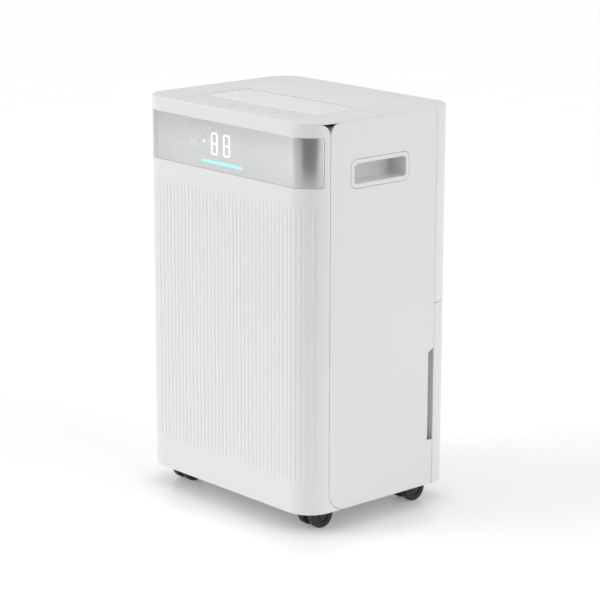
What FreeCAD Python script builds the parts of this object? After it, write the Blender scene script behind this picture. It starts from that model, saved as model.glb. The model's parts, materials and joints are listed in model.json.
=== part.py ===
import FreeCAD, Part
import math
import os
import re

import Sketcher
from FreeCAD import Placement, Rotation, Vector

# A portable compressor dehumidifier on four swivel casters, with a rear water tank.
# Frame: millimetres, +Z up, front facing -Y, origin on the floor under the centre of the body.
# Air enters the rear filter, crosses evaporator and condenser, and the blower lifts it out of the top.

doc = FreeCAD.newDocument("dehumidifier")

SIZES = {
    # body shell
    "body_width": 360,
    "body_depth": 280,
    "body_height": 550,
    "ground_gap": 30,
    "corner_radius": 40,
    "wall": 3,
    "top_edge": 3,
    "seam_gap": 0.5,
    "split_gap": 0.9,
    "fit_gap": 0.3,
    "edge_round": 0.7,
    "top_round": 1.6,
    "toe_radius": 30,
    "toe_land": 8,
    "top_notch": 17,
    "heel_radius": 6,
    # display band
    "band_rim": 20.4,
    "band_height": 69,
    "band_depth": 2,
    "band_reach": 10,
    "band_corner": 3,
    "lens_gap": 0.2,
    "window_half": 62,
    "window_margin": 6,
    "board_thick": 1.6,
    "led_thick": 3,
    # top outlet
    "outlet_inset": 58,
    "outlet_setback": 10,
    "outlet_depth": 93,
    "outlet_corner": 7,
    "grille_drop": 9,
    "grille_rim": 3,
    "grille_lip": 3,
    "slat_count": 8,
    "slat_thick": 1.6,
    "slat_lean": 5,
    # carrying handles
    "grip_y": -8,
    "grip_drop": 76.5,
    "grip_length": 96.5,
    "grip_height": 28,
    "grip_corner": 4,
    "bezel_rim": 6,
    "bezel_corner": 9,
    "cup_depth": 35,
    "cup_wall": 2.5,
    "cup_lip": 3,
    "bracket_thick": 2,
    "bracket_half": 40,
    "bracket_foot": 20,
    "grip_screw_y": -26,
    "grip_screw_rise": 6.5,
    # tank grip slot in the rear edge of each side panel
    "slot_depth": 10,
    "slot_bottom": 97,
    "slot_top": 227.5,
    "slot_slant": 5.5,
    # base and casters
    "base_bottom": 32,
    "base_floor": 4,
    "base_rim": 12,
    "caster_trail": 8,
    "wheel_radius": 19.5,
    "wheel_width": 12,
    "wheel_round": 3,
    "hub_radius": 11,
    "hub_sink": 1.5,
    "web_half": 4.5,
    "web_radius": 15,
    "axle_radius": 3,
    "stem_radius": 4,
    "stem_length": 16,
    "running_gap": 0.05,
    "plate_radius": 13,
    "plate_thick": 4,
    "pocket_gap": 1.67,
    "pocket_wall": 2.5,
    "socket_radius": 9,
    "rail_x": 100,
    "rail_half": 5,
    # tank
    "tank_seam": 298.5,
    "tank_step": 10,
    "tank_lift": 3.4,
    "tank_rim": 287,
    "tank_wall": 2.5,
    "lid_thick": 3,
    "drip_radius": 16,
    "float_x": 60,
    "float_ear": 4,
    "float_span": 32,
    "float_pin": 2,
    "float_arm": 24,
    "float_block": 34,
    "float_height": 20,
    # inner structure
    "frame_thick": 12,
    "frame_bar": 26,
    "frame_top_drop": 5,
    "web_top": 330,
    "lug_reach": 17,
    "lug_inset": 11,
    "lug_height": 30,
    "tray_bottom": 300,
    "tray_thick": 4,
    "basin_height": 22,
    "basin_wall": 2,
    "drain_radius": 5,
    # coils and refrigerant circuit
    "coil_inset": 12,
    "coil_thick": 24,
    "coil_headroom": 37,
    "coil_setback": 16.7,
    "coil_spacing": 36,
    "fin_pitch": 8,
    "fin_slot": 4,
    "tube_radius": 4,
    "tube_start": 30,
    "tube_pitch": 24,
    "coil_frame_post": 9,
    "coil_frame_depth": 16,
    "compressor_x": 20,
    "compressor_radius": 48,
    "compressor_height": 150,
    "compressor_crown": 18,
    "foot_height": 20,
    "foot_radius": 9,
    "foot_x": 62,
    "foot_y": 24,
    "accumulator_radius": 17,
    "accumulator_height": 120,
    "capacitor_radius": 18,
    # blower
    "scroll_radius": 98,
    "scroll_wall": 2.5,
    "fan_radius": 70,
    "fan_eye": 61,
    "blade_count": 28,
    "shaft_radius": 4,
    "motor_radius": 42,
    "motor_length": 44,
    # rear cover services
    "filter_bottom": 345,
    "filter_headroom": 42,
    "filter_depth": 11,
    "filter_gap": 0.4,
    "filter_rim": 8,
    "louvre_count": 17,
    "louvre_thick": 2,
    "drain_x": 112,
    "spigot_z": 316,
    "spigot_radius": 7,
    "spigot_wall": 2,
    "spigot_recess": 12.5,
    "gland_radius": 8,
    "cord_radius": 3.5,
    "screw_head": 3.6,
    "screw_shank": 1.9,
    "screw_sink": 2,
}

# Places that follow from the driving sizes.
DERIVED = {
    "half_width": "body_width / 2",
    "half_depth": "body_depth / 2",
    "body_top": "ground_gap + body_height",
    "cover_top": "body_top - top_edge",
    "seam_y": "half_depth - corner_radius",
    "seam_x": "half_width - corner_radius",
    "half_gap": "seam_gap / 2",
    "inner_half": "half_width - wall",
    "inner_deep": "half_depth - wall",
    "fit_half": "inner_half - fit_gap",
    "fit_deep": "inner_deep - fit_gap",
    "fit_corner": "corner_radius - wall - fit_gap",
    "band_top": "body_top - band_rim",
    "band_bottom": "band_top - band_height",
    "grip_z": "body_top - grip_drop",
    "grip_screw_z": "grip_z + grip_screw_rise",
    "outlet_half": "half_width - outlet_inset",
    "outlet_front": "frame_back + outlet_setback",
    "outlet_back": "outlet_front + outlet_depth",
    "scroll_front": "outlet_front + 3",
    "scroll_back": "outlet_back - 3",
    "fan_front": "scroll_front + 12",
    "fan_back": "scroll_back - 7",
    "frame_front": "-seam_y - 1",
    "bay_wall_y": "frame_back + 2 * compressor_radius + 11",
    "tank_front": "bay_wall_y + 4",
    "tank_half": "half_width - tank_step",
    "tank_bottom": "socket_top + tank_lift",
    "tank_top": "tank_seam - split_gap / 2",
    "rear_bottom": "tank_seam + split_gap / 2",
    "tray_top": "tray_bottom + tray_thick",
    "frame_back": "frame_front + frame_thick",
    "frame_top": "cover_top - frame_top_drop",
    "base_top": "base_bottom + base_floor",
    "plate_top": "2 * wheel_radius + 0.6 + plate_thick",
    "pocket_top": "plate_top + fit_gap",
    "swing": "sqrt((caster_trail + wheel_radius)^2 + (web_half + 0.5 + wheel_width)^2)",
    "pocket_radius": "swing + pocket_gap",
    "housing": "pocket_radius + pocket_wall",
    "corner_room": "fit_corner - (fit_corner - housing) / sqrt(2)",
    "caster_x": "fit_half - max(housing + 0.2; corner_room)",
    "caster_y": "fit_deep - max(housing + 2.2; corner_room)",
    "socket_top": "plate_top + stem_length + 3",
    "fan_z": "tray_top + fit_gap + scroll_radius",
    "tube_first": "tray_top + tube_start",
    "cup_back": "half_width - cup_depth",
    "compressor_base": "base_top + foot_height",
    "float_z": "tank_rim - 17",
    "float_y": "tank_front + tank_wall + 7",
    "filter_top": "cover_top - filter_headroom",
    "filter_height": "filter_top - filter_bottom",
    "filter_half": "seam_x - coil_frame_post - 3",
    "discharge_x": "tube_radius + max(basin_half + 1.5; cup_back + 3.5)",
    "suction_x": "discharge_x + 2 * tube_radius + 2",
    "basin_back": "fit_deep - coil_frame_depth",
    "evaporator_y": "basin_back - coil_setback",
    "condenser_y": "evaporator_y - coil_spacing",
    "drain_y": "(condenser_y + evaporator_y) / 2",
    "basin_front": "condenser_y - coil_thick / 2 - 4",
    "coil_half": "seam_x - coil_inset",
    "coil_height": "cover_top - coil_headroom - tray_top",
    "basin_half": "coil_half + tube_pitch / 2 + tube_radius + 3",
    "compressor_y": "bay_wall_y - compressor_radius - 6",
}

sheet = doc.addObject("Spreadsheet::Sheet", "Sizes")
for row, (alias, number) in enumerate(SIZES.items(), 1):
    sheet.set(f"A{row}", alias)
    sheet.set(f"B{row}", str(number))
    sheet.setAlias(f"B{row}", alias)
doc.recompute()

UP = Vector(0, 0, 1)
AXES = {"X": Vector(1, 0, 0), "Y": Vector(0, 1, 0), "Z": UP}
PLANES = {"X": "YZ_Plane", "Y": "XZ_Plane", "Z": "XY_Plane"}
nodes = []


def formula(text):
    """The same formula with each size name bound to its spreadsheet cell."""

    def bind(match):
        word = match.group(0)
        if word in DERIVED:
            return "(" + formula(DERIVED[word]) + ")"
        return "Sizes." + word if word in SIZES else word

    return re.sub(r"[a-z_]+", bind, str(text))


def value(text):
    """The present value of a formula in size names."""
    return float(sheet.evalExpression(formula(text)))


def keep(name, piece):
    """Label an object as a finished sub-part."""
    piece.Label = name
    nodes.append(piece)
    return piece


# Sketches: an outline is a list of corners (u, v), each joined to the next by a line,
# or (u, v, radius, turn) for an arc that runs anticlockwise (1) or clockwise (-1) to the next.


def arc_between(start, end, radius, turn):
    """The short arc from start to end, as Sketcher stores it: always anticlockwise."""
    chord = end - start
    rise = math.sqrt(max(radius**2 - (chord.Length / 2) ** 2, 0))
    normal = Vector(-chord.y, chord.x, 0).normalize()
    centre = (start + end) * 0.5 + normal * rise * turn
    first, last = (start, end) if turn > 0 else (end, start)
    angle = math.atan2(first.y - centre.y, first.x - centre.x)
    sweep = math.atan2(last.y - centre.y, last.x - centre.x) - angle
    circle = Part.Circle(centre, UP, radius)
    return Part.ArcOfCircle(circle, angle, angle + sweep % (2 * math.pi))


def bind_constraint(sketch, name, constraint, text):
    index = sketch.addConstraint(constraint)
    sketch.renameConstraint(index, name)
    sketch.setExpression("Constraints." + name, formula(text))


def draw_circle(sketch, u, v, radius):
    tag = f"c{sketch.GeometryCount}"
    centre = Vector(value(u), value(v), 0)
    item = sketch.addGeometry(Part.Circle(centre, UP, value(radius)), False)
    place = [("DistanceX", "u", u, centre.x), ("DistanceY", "v", v, centre.y)]
    for kind, letter, text, number in place:
        constraint = Sketcher.Constraint(kind, -1, 1, item, 3, number)
        bind_constraint(sketch, tag + letter, constraint, text)
    size = Sketcher.Constraint("Radius", item, value(radius))
    bind_constraint(sketch, tag + "size", size, radius)


def draw_outline(sketch, corners):
    points = [Vector(value(c[0]), value(c[1]), 0) for c in corners]
    ends = []
    for i, corner in enumerate(corners):
        start, end = points[i], points[(i + 1) % len(points)]
        if len(corner) == 2:
            item = sketch.addGeometry(Part.LineSegment(start, end), False)
            ends.append((item, 1, 2))
        else:
            arc = arc_between(start, end, value(corner[2]), corner[3])
            item = sketch.addGeometry(arc, False)
            ends.append((item, 1, 2) if corner[3] > 0 else (item, 2, 1))
    for i, corner in enumerate(corners):
        item, first, _ = ends[i]
        before, _, last = ends[i - 1]
        sketch.addConstraint(Sketcher.Constraint("Coincident", before, last, item, first))
        place = [("DistanceX", "u", points[i].x), ("DistanceY", "v", points[i].y)]
        for axis, (kind, letter, number) in enumerate(place):
            constraint = Sketcher.Constraint(kind, -1, 1, item, first, number)
            bind_constraint(sketch, f"p{item}{letter}", constraint, corner[axis])
        if len(corner) == 4:
            size = Sketcher.Constraint("Radius", item, value(corner[2]))
            bind_constraint(sketch, f"p{item}size", size, corner[2])


def draw(body, axis, level, loops):
    """A sketch across an axis at a level; a loop is an outline or a circle (u, v, radius)."""
    plane = [f for f in body.Origin.OriginFeatures if f.Role == PLANES[axis]][0]
    sketch = body.newObject("Sketcher::SketchObject", "Sketch")
    sketch.AttachmentSupport = [(plane, "")]
    sketch.MapMode = "FlatFace"
    offset = f"-({level})" if axis == "Y" else level
    sketch.setExpression("AttachmentOffset.Base.z", formula(offset))
    for loop in loops:
        if isinstance(loop, tuple):
            draw_circle(sketch, *loop)
        else:
            draw_outline(sketch, loop)
    return sketch


def body_named(name):
    body = doc.addObject("PartDesign::Body", name)
    return keep(name, body)


def pad(body, axis, level, length, *loops):
    """Add the loops' area from level towards the positive axis."""
    sketch = draw(body, axis, level, loops)
    feature = body.newObject("PartDesign::Pad", "Pad")
    feature.Profile = sketch
    feature.Reversed = axis == "Y"
    feature.setExpression("Length", formula(length))
    doc.recompute()
    return feature


def pocket(body, axis, level, length, *loops):
    """Cut the loops' area from level towards the positive axis."""
    before = body.Shape.Volume
    sketch = draw(body, axis, level, loops)
    feature = body.newObject("PartDesign::Pocket", "Pocket")
    feature.Profile = sketch
    feature.Reversed = axis != "Y"
    feature.setExpression("Length", formula(length))
    doc.recompute()
    if body.Shape.Volume > before - 1e-3:
        raise RuntimeError(f"{body.Label}: a pocket cuts nothing")
    return feature


def repeat(body, feature, axis, count, pitch):
    """A linear pattern of one feature along an origin axis."""
    line = [f for f in body.Origin.OriginFeatures if f.Role == axis + "_Axis"][0]
    pattern = body.newObject("PartDesign::LinearPattern", "Pattern")
    pattern.Originals = [feature]
    pattern.Direction = (line, [""])
    pattern.setExpression("Occurrences", formula(count))
    pattern.setExpression("Length", formula(f"({count} - 1) * ({pitch})"))
    body.Tip = pattern
    doc.recompute()
    return pattern


def soften(body, radius, chosen):
    """Fillet the edges that the test picks."""
    tip = body.Tip
    names = [f"Edge{i}" for i, edge in enumerate(body.Shape.Edges, 1) if chosen(edge)]
    feature = body.newObject("PartDesign::Fillet", "Fillet")
    feature.Base = (tip, names)
    feature.setExpression("Radius", formula(radius))
    doc.recompute()
    return feature


def lies_at(edge, axis, level):
    """Whether an edge lies wholly in the plane across an axis at a level."""
    box = edge.BoundBox
    low, high = getattr(box, axis + "Min"), getattr(box, axis + "Max")
    return abs(low - level) < 1e-4 and abs(high - level) < 1e-4


def rectangle(u_low, u_high, v_low, v_high):
    return [(u_low, v_low), (u_high, v_low), (u_high, v_high), (u_low, v_high)]


def rounded(u_low, u_high, v_low, v_high, radius):
    """A rectangle with four equal rounded corners."""
    left, right = f"{u_low} + {radius}", f"{u_high} - ({radius})"
    bottom, top = f"{v_low} + {radius}", f"{v_high} - ({radius})"
    return [
        (left, v_low),
        (right, v_low, radius, 1),
        (u_high, bottom),
        (u_high, top, radius, 1),
        (right, v_high),
        (left, v_high, radius, 1),
        (u_low, top),
        (u_low, bottom, radius, 1),
    ]


def footprint(inset):
    """The body's plan outline, moved in by an inset."""
    wide, deep = f"half_width - ({inset})", f"half_depth - ({inset})"
    return rounded(f"-({wide})", wide, f"-({deep})", deep, f"(corner_radius - ({inset}))")


def arc_x(end, inset):
    """Half width of the plan outline, moved in by an inset, where it crosses |Y| = end."""
    return f"seam_x + sqrt((corner_radius - ({inset}))^2 - ({end} - seam_y)^2)"


def bent_shell(side, end, outer, inner):
    """Plan outline of a wall round the front (-1) or rear (1), between two insets, to |Y| = end."""
    y_end = f"{side} * ({end})"
    outer_y = f"{side} * (half_depth - ({outer}))"
    inner_y = f"{side} * (half_depth - ({inner}))"
    outer_r, inner_r = f"corner_radius - ({outer})", f"corner_radius - ({inner})"
    return [
        (f"-({arc_x(end, outer)})", y_end, outer_r, -side),
        ("-seam_x", outer_y),
        ("seam_x", outer_y, outer_r, -side),
        (arc_x(end, outer), y_end),
        (arc_x(end, inner), y_end, inner_r, side),
        ("seam_x", inner_y),
        ("-seam_x", inner_y, inner_r, side),
        (f"-({arc_x(end, inner)})", y_end),
    ]


# Plain solids, for the pieces that are turned, sawn or bent from stock.


def place(piece, x, y, z):
    for letter, text in zip("xyz", (x, y, z)):
        piece.setExpression(f".Placement.Base.{letter}", formula(text))
    return piece


def block(low, high):
    """A box between two corners."""
    piece = doc.addObject("Part::Box", "Block")
    for side, start, end in zip(("Length", "Width", "Height"), low, high):
        piece.setExpression(side, formula(f"({end}) - ({start})"))
    return place(piece, *low)


def rod(axis, start, radius, length):
    """A round bar from a start point along a positive axis."""
    piece = doc.addObject("Part::Cylinder", "Rod")
    piece.Placement = Placement(Vector(), Rotation(UP, AXES[axis]))
    piece.setExpression("Radius", formula(radius))
    piece.setExpression("Height", formula(length))
    return place(piece, *start)


def union(*pieces):
    joined = doc.addObject("Part::MultiFuse", "Union")
    joined.Shapes = list(pieces)
    return joined


def minus(base, *tools):
    result = doc.addObject("Part::Cut", "Cut")
    result.Base = base
    result.Tool = tools[0] if len(tools) == 1 else union(*tools)
    return result


def group(*pieces):
    """Several separate solids that share a node."""
    together = doc.addObject("Part::Compound", "Group")
    together.Links = list(pieces)
    return together


def bent_tube(corners, radius, bend):
    """A round tube along straight runs joined by equal bends."""
    points = [Vector(*[value(text) for text in corner]) for corner in corners]
    edges = []
    start = points[0]
    for before, corner, after in zip(points, points[1:], points[2:]):
        into = (corner - before).normalize()
        out = (after - corner).normalize()
        turn = into.getAngle(out)
        reach = bend * math.tan(turn / 2)
        first, last = corner - into * reach, corner + out * reach
        middle = corner + (out - into).normalize() * bend * (1 / math.cos(turn / 2) - 1)
        edges.append(Part.LineSegment(start, first).toShape())
        edges.append(Part.Arc(first, middle, last).toShape())
        start = last
    edges.append(Part.LineSegment(start, points[-1]).toShape())
    path = Part.Wire(edges)
    ring = Part.Wire(Part.Circle(points[0], points[1] - points[0], radius).toShape())
    tube = doc.addObject("Part::Feature", "Tube")
    tube.Shape = path.makePipeShell([ring], True, False)
    return tube


# Outer covers


def make_front_cover():
    body = body_named("front_cover")
    wing = "-(seam_y - toe_radius)"
    inner_r = "corner_radius - wall"
    plan = [
        ("-half_width", wing),
        ("-half_width", "-seam_y", "corner_radius", 1),
        ("-seam_x", "-half_depth"),
        ("seam_x", "-half_depth", "corner_radius", 1),
        ("half_width", "-seam_y"),
        ("half_width", wing),
        ("inner_half", wing),
        ("inner_half", "-seam_y", inner_r, -1),
        ("seam_x", "-inner_deep"),
        ("-seam_x", "-inner_deep", inner_r, -1),
        ("-inner_half", "-seam_y"),
        ("-inner_half", wing),
    ]
    pad(body, "Z", "ground_gap", "body_height - top_edge", plan)
    # the side edge: a toe under the side panel, a straight seam and a rounded top corner
    edge = "-seam_y - half_gap"
    toe_y = "toe_radius - seam_y - toe_land"
    toe_z = "ground_gap + toe_radius - sqrt((toe_radius + half_gap)^2 - toe_land^2)"
    beyond = "toe_radius - seam_y + 1"
    removed = [
        (edge, "ground_gap + toe_radius", "toe_radius + half_gap", 1),
        (toe_y, toe_z),
        (toe_y, "ground_gap - 1"),
        (beyond, "ground_gap - 1"),
        (beyond, "cover_top + 1"),
        (f"{edge} - top_notch", "cover_top + 1"),
        (f"{edge} - top_notch", "cover_top", "top_notch", -1),
        (edge, "cover_top - top_notch"),
    ]
    pocket(body, "X", "-half_width - 1", "body_width + 2", removed)
    recess = bent_shell(-1, "seam_y + band_reach", -1, "band_depth")
    pocket(body, "Z", "band_bottom", "band_height", recess)
    low, high = "band_bottom + window_margin", "band_top - window_margin"
    window = rectangle("-window_half", "window_half", low, high)
    pocket(body, "Y", "-half_depth", "wall + 1", window)


def make_display():
    body = body_named("display_lens")
    low, high = "band_bottom + lens_gap", "band_top - lens_gap"
    ring = bent_shell(-1, "seam_y + half_gap", 0, "band_depth - lens_gap")
    pad(body, "Z", low, "band_height - 2 * lens_gap", ring)
    edge = "-(seam_y + band_reach + lens_gap)"
    rim = f"{edge} - band_corner"
    removed = [
        (rim, high, "band_corner", -1),
        (edge, f"{high} - band_corner"),
        (edge, f"{low} + band_corner", "band_corner", -1),
        (rim, low),
        (rim, f"{low} - 1"),
        ("0", f"{low} - 1"),
        ("0", f"{high} + 1"),
        (rim, f"{high} + 1"),
    ]
    pocket(body, "X", "-half_width - 1", "body_width + 2", removed)
    margin = "(window_margin + fit_gap)"
    led_front = "-half_depth + band_depth"
    board_front = f"{led_front} + led_thick"
    led = block(
        ("fit_gap - window_half", led_front, f"band_bottom + {margin}"),
        ("window_half - fit_gap", board_front, f"band_top - {margin}"),
    )
    keep("led_display", led)
    board = block(
        ("-window_half - 4", board_front, "band_bottom + 2"),
        ("window_half + 4", f"{board_front} + board_thick", "band_top - 2"),
    )
    keep("display_board", board)


def make_side_panel(name, side):
    """One flat side panel; side is -1 for the left and 1 for the right."""
    body = body_named(name)
    front, back = "half_gap - seam_y", "seam_y - half_gap"
    bottom = "ground_gap + half_gap"
    slot = f"{back} - slot_depth"
    outline = [
        (front, "ground_gap + toe_radius", "toe_radius - half_gap", 1),
        ("toe_radius - seam_y", bottom),
        (f"{back} - heel_radius", bottom, "heel_radius", 1),
        (back, f"{bottom} + heel_radius"),
        (back, "slot_bottom"),
        (slot, "slot_bottom"),
        (slot, "slot_top"),
        (back, "slot_top + slot_slant"),
        (back, "cover_top"),
        (f"{front} + top_notch", "cover_top", "top_notch", 1),
        (front, "cover_top - top_notch"),
    ]
    hole = grip_outline("bezel_rim + seam_gap", "bezel_corner + seam_gap")
    level = "inner_half" if side > 0 else "-half_width"
    pad(body, "X", level, "wall", outline, hole)
    face = value(f"{side} * half_width")
    rear = value(back)
    soften(body, "edge_round", lambda e: lies_at(e, "X", face) and e.BoundBox.YMax < rear - 1e-3)


def grip_outline(grow, radius):
    """The hand grip's rounded opening in side view, grown by a margin."""
    y_half, z_half = f"(grip_length / 2 + {grow})", f"(grip_height / 2 + {grow})"
    y_low, y_high = f"grip_y - {y_half}", f"grip_y + {y_half}"
    z_low, z_high = f"grip_z - {z_half}", f"grip_z + {z_half}"
    return rounded(y_low, y_high, z_low, z_high, f"({radius})")


def make_handle(side, word):
    """A moulded hand grip, its steel bracket down to the tray, and the place of their screw."""
    body = body_named("handle_cup_" + word)
    outer = "inner_half" if side > 0 else "-half_width"
    pad(body, "X", outer, "wall", grip_outline("bezel_rim", "bezel_corner"))
    lip = "inner_half - cup_lip" if side > 0 else "-inner_half"
    lip_outline = grip_outline("bezel_rim + cup_lip", "bezel_corner + cup_lip")
    pad(body, "X", lip, "cup_lip", lip_outline)
    deep = "cup_back" if side > 0 else "cup_lip - inner_half"
    cup_outline = grip_outline("cup_wall", "grip_corner + cup_wall")
    pad(body, "X", deep, "cup_depth - wall - cup_lip", cup_outline)
    hollow = "cup_back + cup_wall" if side > 0 else "-half_width - 1"
    pocket(body, "X", hollow, "cup_depth - cup_wall + 1", grip_outline("0", "grip_corner"))
    hole = ("grip_screw_y", "grip_screw_z", "screw_shank + 0.1")
    back = "cup_back" if side > 0 else "-cup_back - cup_wall"
    pocket(body, "X", back, "cup_wall", hole)
    face = value(f"{side} * half_width")
    soften(body, "edge_round", lambda e: lies_at(e, "X", face))

    inner, outer = "cup_back - bracket_thick", "cup_back"
    foot = "cup_back - bracket_foot"
    if side < 0:
        inner, outer = outer, inner
    y_low, y_high = "grip_y - bracket_half", "grip_y + bracket_half"
    z_high = "grip_z + grip_height / 2"
    low_x, high_x = f"{side} * ({inner})", f"{side} * ({outer})"
    plate = block((low_x, y_low, "tray_top"), (high_x, y_high, z_high))
    ends = [f"{side} * ({foot})", f"{side} * cup_back"]
    if side < 0:
        ends.reverse()
    sole = block((ends[0], y_low, "tray_top"), (ends[1], y_high, "tray_top + bracket_thick"))
    start = (f"{side} * cup_back - 10", "grip_screw_y", "grip_screw_z")
    bore = rod("X", start, "screw_shank + 0.1", "20")
    keep("carry_bracket_" + word, minus(union(plate, sole), bore))


def make_grip_screws():
    screws = []
    for side in (1, -1):
        head = "cup_back + cup_wall" if side > 0 else "-cup_back - cup_wall - screw_sink"
        tail = "cup_back - 8" if side > 0 else "-cup_back - cup_wall"
        top = rod("X", (head, "grip_screw_y", "grip_screw_z"), "screw_head + 0.8", "screw_sink")
        shank = rod("X", (tail, "grip_screw_y", "grip_screw_z"), "screw_shank", "cup_wall + 8")
        screws.append(union(top, shank))
    keep("grip_screws", group(*screws))


def make_top_cover():
    body = body_named("top_cover")
    opening = rounded("-outlet_half", "outlet_half", "outlet_front", "outlet_back", "outlet_corner")
    pad(body, "Z", "cover_top", "top_edge", footprint("0"), opening)
    top, edge, front = value("body_top"), value("outlet_half") + 1, value("outlet_front") - 1

    def is_rim(e):
        box = e.BoundBox
        outside = max(-box.XMin, box.XMax) > edge or box.YMin < front
        return lies_at(e, "Z", top) and outside

    soften(body, "top_round", is_rim)


def make_outlet_grille():
    body = body_named("outlet_grille")
    left, right = "fit_gap - outlet_half", "outlet_half - fit_gap"
    front, back = "outlet_front + fit_gap", "outlet_back - fit_gap"
    bottom, depth = "body_top - grille_drop", "grille_drop - 0.6"
    corner = "(outlet_corner - fit_gap)"
    rim = rounded(left, right, front, back, corner)
    hole = rounded(
        f"{left} + grille_rim",
        f"{right} - grille_rim",
        f"{front} + grille_rim",
        f"{back} - grille_rim",
        f"({corner} - grille_rim)",
    )
    pad(body, "Z", bottom, depth, rim, hole)
    wide = "outlet_half + grille_lip"
    lip = rounded(f"-({wide})", wide, "outlet_front - grille_lip", "outlet_back + grille_lip", corner)
    pad(body, "Z", bottom, "grille_drop - top_edge", lip, rim)
    pitch = "(outlet_back - outlet_front - 2 * grille_rim) / (slat_count + 1)"
    first = f"outlet_front + grille_rim + {pitch} - slat_lean / 2"
    low, high = f"{bottom} + 0.4", f"{bottom} + {depth} - 0.6"
    slat = [
        (first, low),
        (f"{first} + slat_thick", low),
        (f"{first} + slat_thick + slat_lean", high),
        (f"{first} + slat_lean", high),
    ]
    half = "(outlet_half - 1)"
    feature = pad(body, "X", f"-{half}", f"2 * {half}", slat)
    repeat(body, feature, "Y", "slat_count", pitch)


def make_rear_cover():
    body = body_named("rear_cover")
    end = "seam_y + half_gap"
    height = "cover_top - rear_bottom"
    pad(body, "Z", "rear_bottom", height, bent_shell(1, end, 0, "wall"))
    # a sleeve that the filter cassette slides into, with a stop at its inner end
    grow = "(filter_gap + basin_wall)"
    sleeve = filter_outline(grow)
    front = "half_depth - filter_depth - 1"
    pad(body, "Y", f"{front} - 2", "filter_depth + 2", sleeve)
    pocket(body, "Y", front, "filter_depth + 2", filter_outline("filter_gap"))
    pocket(body, "Y", f"{front} - 3", "4", filter_outline("-3"))
    ports = [("drain_x", "spigot_z", "spigot_recess"), ("-drain_x", "spigot_z", "gland_radius + 0.2")]
    pocket(body, "Y", "inner_deep - 1", "wall + 2", *ports)
    sink = [(x, z, "screw_head + 0.6") for x, z in rear_screw_places()]
    pocket(body, "Y", "half_depth - screw_sink", "screw_sink + 1", *sink)
    hole = [(x, z, "screw_shank + 0.1") for x, z in rear_screw_places()]
    pocket(body, "Y", "inner_deep - 1", "wall + 1", *hole)


def filter_outline(grow):
    low, high = f"filter_bottom - {grow}", f"filter_top + {grow}"
    return rectangle(f"-filter_half - {grow}", f"filter_half + {grow}", low, high)


def rear_screw_places():
    """X and Z of the rear cover's four screws, which go into the posts of the coil frame."""
    x = "(seam_x - coil_frame_post / 2)"
    return [(sign + x, z) for sign in ("-", "") for z in ("tray_top + 20", "cover_top - 20")]


def make_rear_screws():
    screws = []
    for x, z in rear_screw_places():
        head = rod("Y", (x, "half_depth - screw_sink", z), "screw_head", "screw_sink - 0.4")
        shank = rod("Y", (x, "half_depth - screw_sink - 12", z), "screw_shank", "12")
        screws.append(union(head, shank))
    keep("rear_screws", group(*screws))


def make_filter():
    body = body_named("filter_frame")
    front = "half_depth - filter_depth"
    inner = filter_outline("-filter_rim")
    pad(body, "Y", front, "filter_depth - 0.4", filter_outline("0"), inner)
    pitch = "(filter_height - 2 * filter_rim) / (louvre_count + 1)"
    first = f"filter_bottom + filter_rim + {pitch}"
    outer = "half_depth - 1.2"
    slat = [
        (f"{outer} - 6", f"{first} + 3"),
        (outer, f"{first} - 1"),
        (outer, f"{first} - 1 + louvre_thick"),
        (f"{outer} - 6", f"{first} + 3 + louvre_thick"),
    ]
    half = "(filter_half - filter_rim + 1)"
    feature = pad(body, "X", f"-{half}", f"2 * {half}", slat)
    repeat(body, feature, "Z", "louvre_count", pitch)
    mesh = block(
        ("filter_rim - filter_half + fit_gap", front, "filter_bottom + filter_rim + fit_gap"),
        ("filter_half - filter_rim - fit_gap", f"{front} + 1.2", "filter_top - filter_rim - fit_gap"),
    )
    keep("filter_mesh", mesh)


# Base and casters


def caster_places():
    """Name, X side and Y side of each caster."""
    return [("fl", -1, -1), ("fr", 1, -1), ("rl", -1, 1), ("rr", 1, 1)]


def make_base_pan():
    body = body_named("base_pan")
    outline = footprint("wall + fit_gap")
    pad(body, "Z", "base_bottom", "base_floor", outline)
    inner = footprint("wall + fit_gap + pocket_wall")
    pad(body, "Z", "base_bottom", "base_rim", outline, inner)
    centres = [(f"{a} * caster_x", f"{b} * caster_y") for _, a, b in caster_places()]
    housings = [(x, y, "housing") for x, y in centres]
    pad(body, "Z", "base_bottom", "pocket_top + pocket_wall - base_bottom", *housings)
    sockets = [(x, y, "socket_radius") for x, y in centres]
    pad(body, "Z", "pocket_top", "socket_top - pocket_top", *sockets)
    for x in ("-rail_x", "rail_x"):
        rail = rectangle(f"{x} - rail_half", f"{x} + rail_half", "tank_front", "inner_deep - 8")
        pad(body, "Z", "base_bottom", "tank_bottom - fit_gap - base_bottom", rail)
    pockets = [(x, y, "pocket_radius") for x, y in centres]
    pocket(body, "Z", "base_bottom - 1", "pocket_top - base_bottom + 1", *pockets)
    bores = [(x, y, "stem_radius + running_gap") for x, y in centres]
    pocket(body, "Z", "pocket_top - 1", "plate_top + stem_length + 1 - pocket_top", *bores)
    bolts = [(x, y, "axle_radius + 0.2") for x, y in compressor_feet_places()]
    pocket(body, "Z", "base_bottom - 1", "base_floor + 2", *bolts)
    sink = [(x, "frame_front + frame_thick / 2", "screw_head + 0.6") for x in base_screw_places()]
    pocket(body, "Z", "base_bottom - 1", "screw_sink + 1", *sink)
    hole = [(x, "frame_front + frame_thick / 2", "screw_shank + 0.1") for x in base_screw_places()]
    pocket(body, "Z", "base_bottom", "base_floor + 1", *hole)


def base_screw_places():
    return ["50 - seam_x", "-30", "30", "seam_x - 50"]


def make_base_screws():
    screws = []
    for x in base_screw_places():
        y = "frame_front + frame_thick / 2"
        head = rod("Z", (x, y, "base_bottom + 0.4"), "screw_head", "screw_sink - 0.4")
        shank = rod("Z", (x, y, "base_bottom + screw_sink"), "screw_shank", "14")
        screws.append(union(head, shank))
    keep("base_screws", group(*screws))


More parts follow.
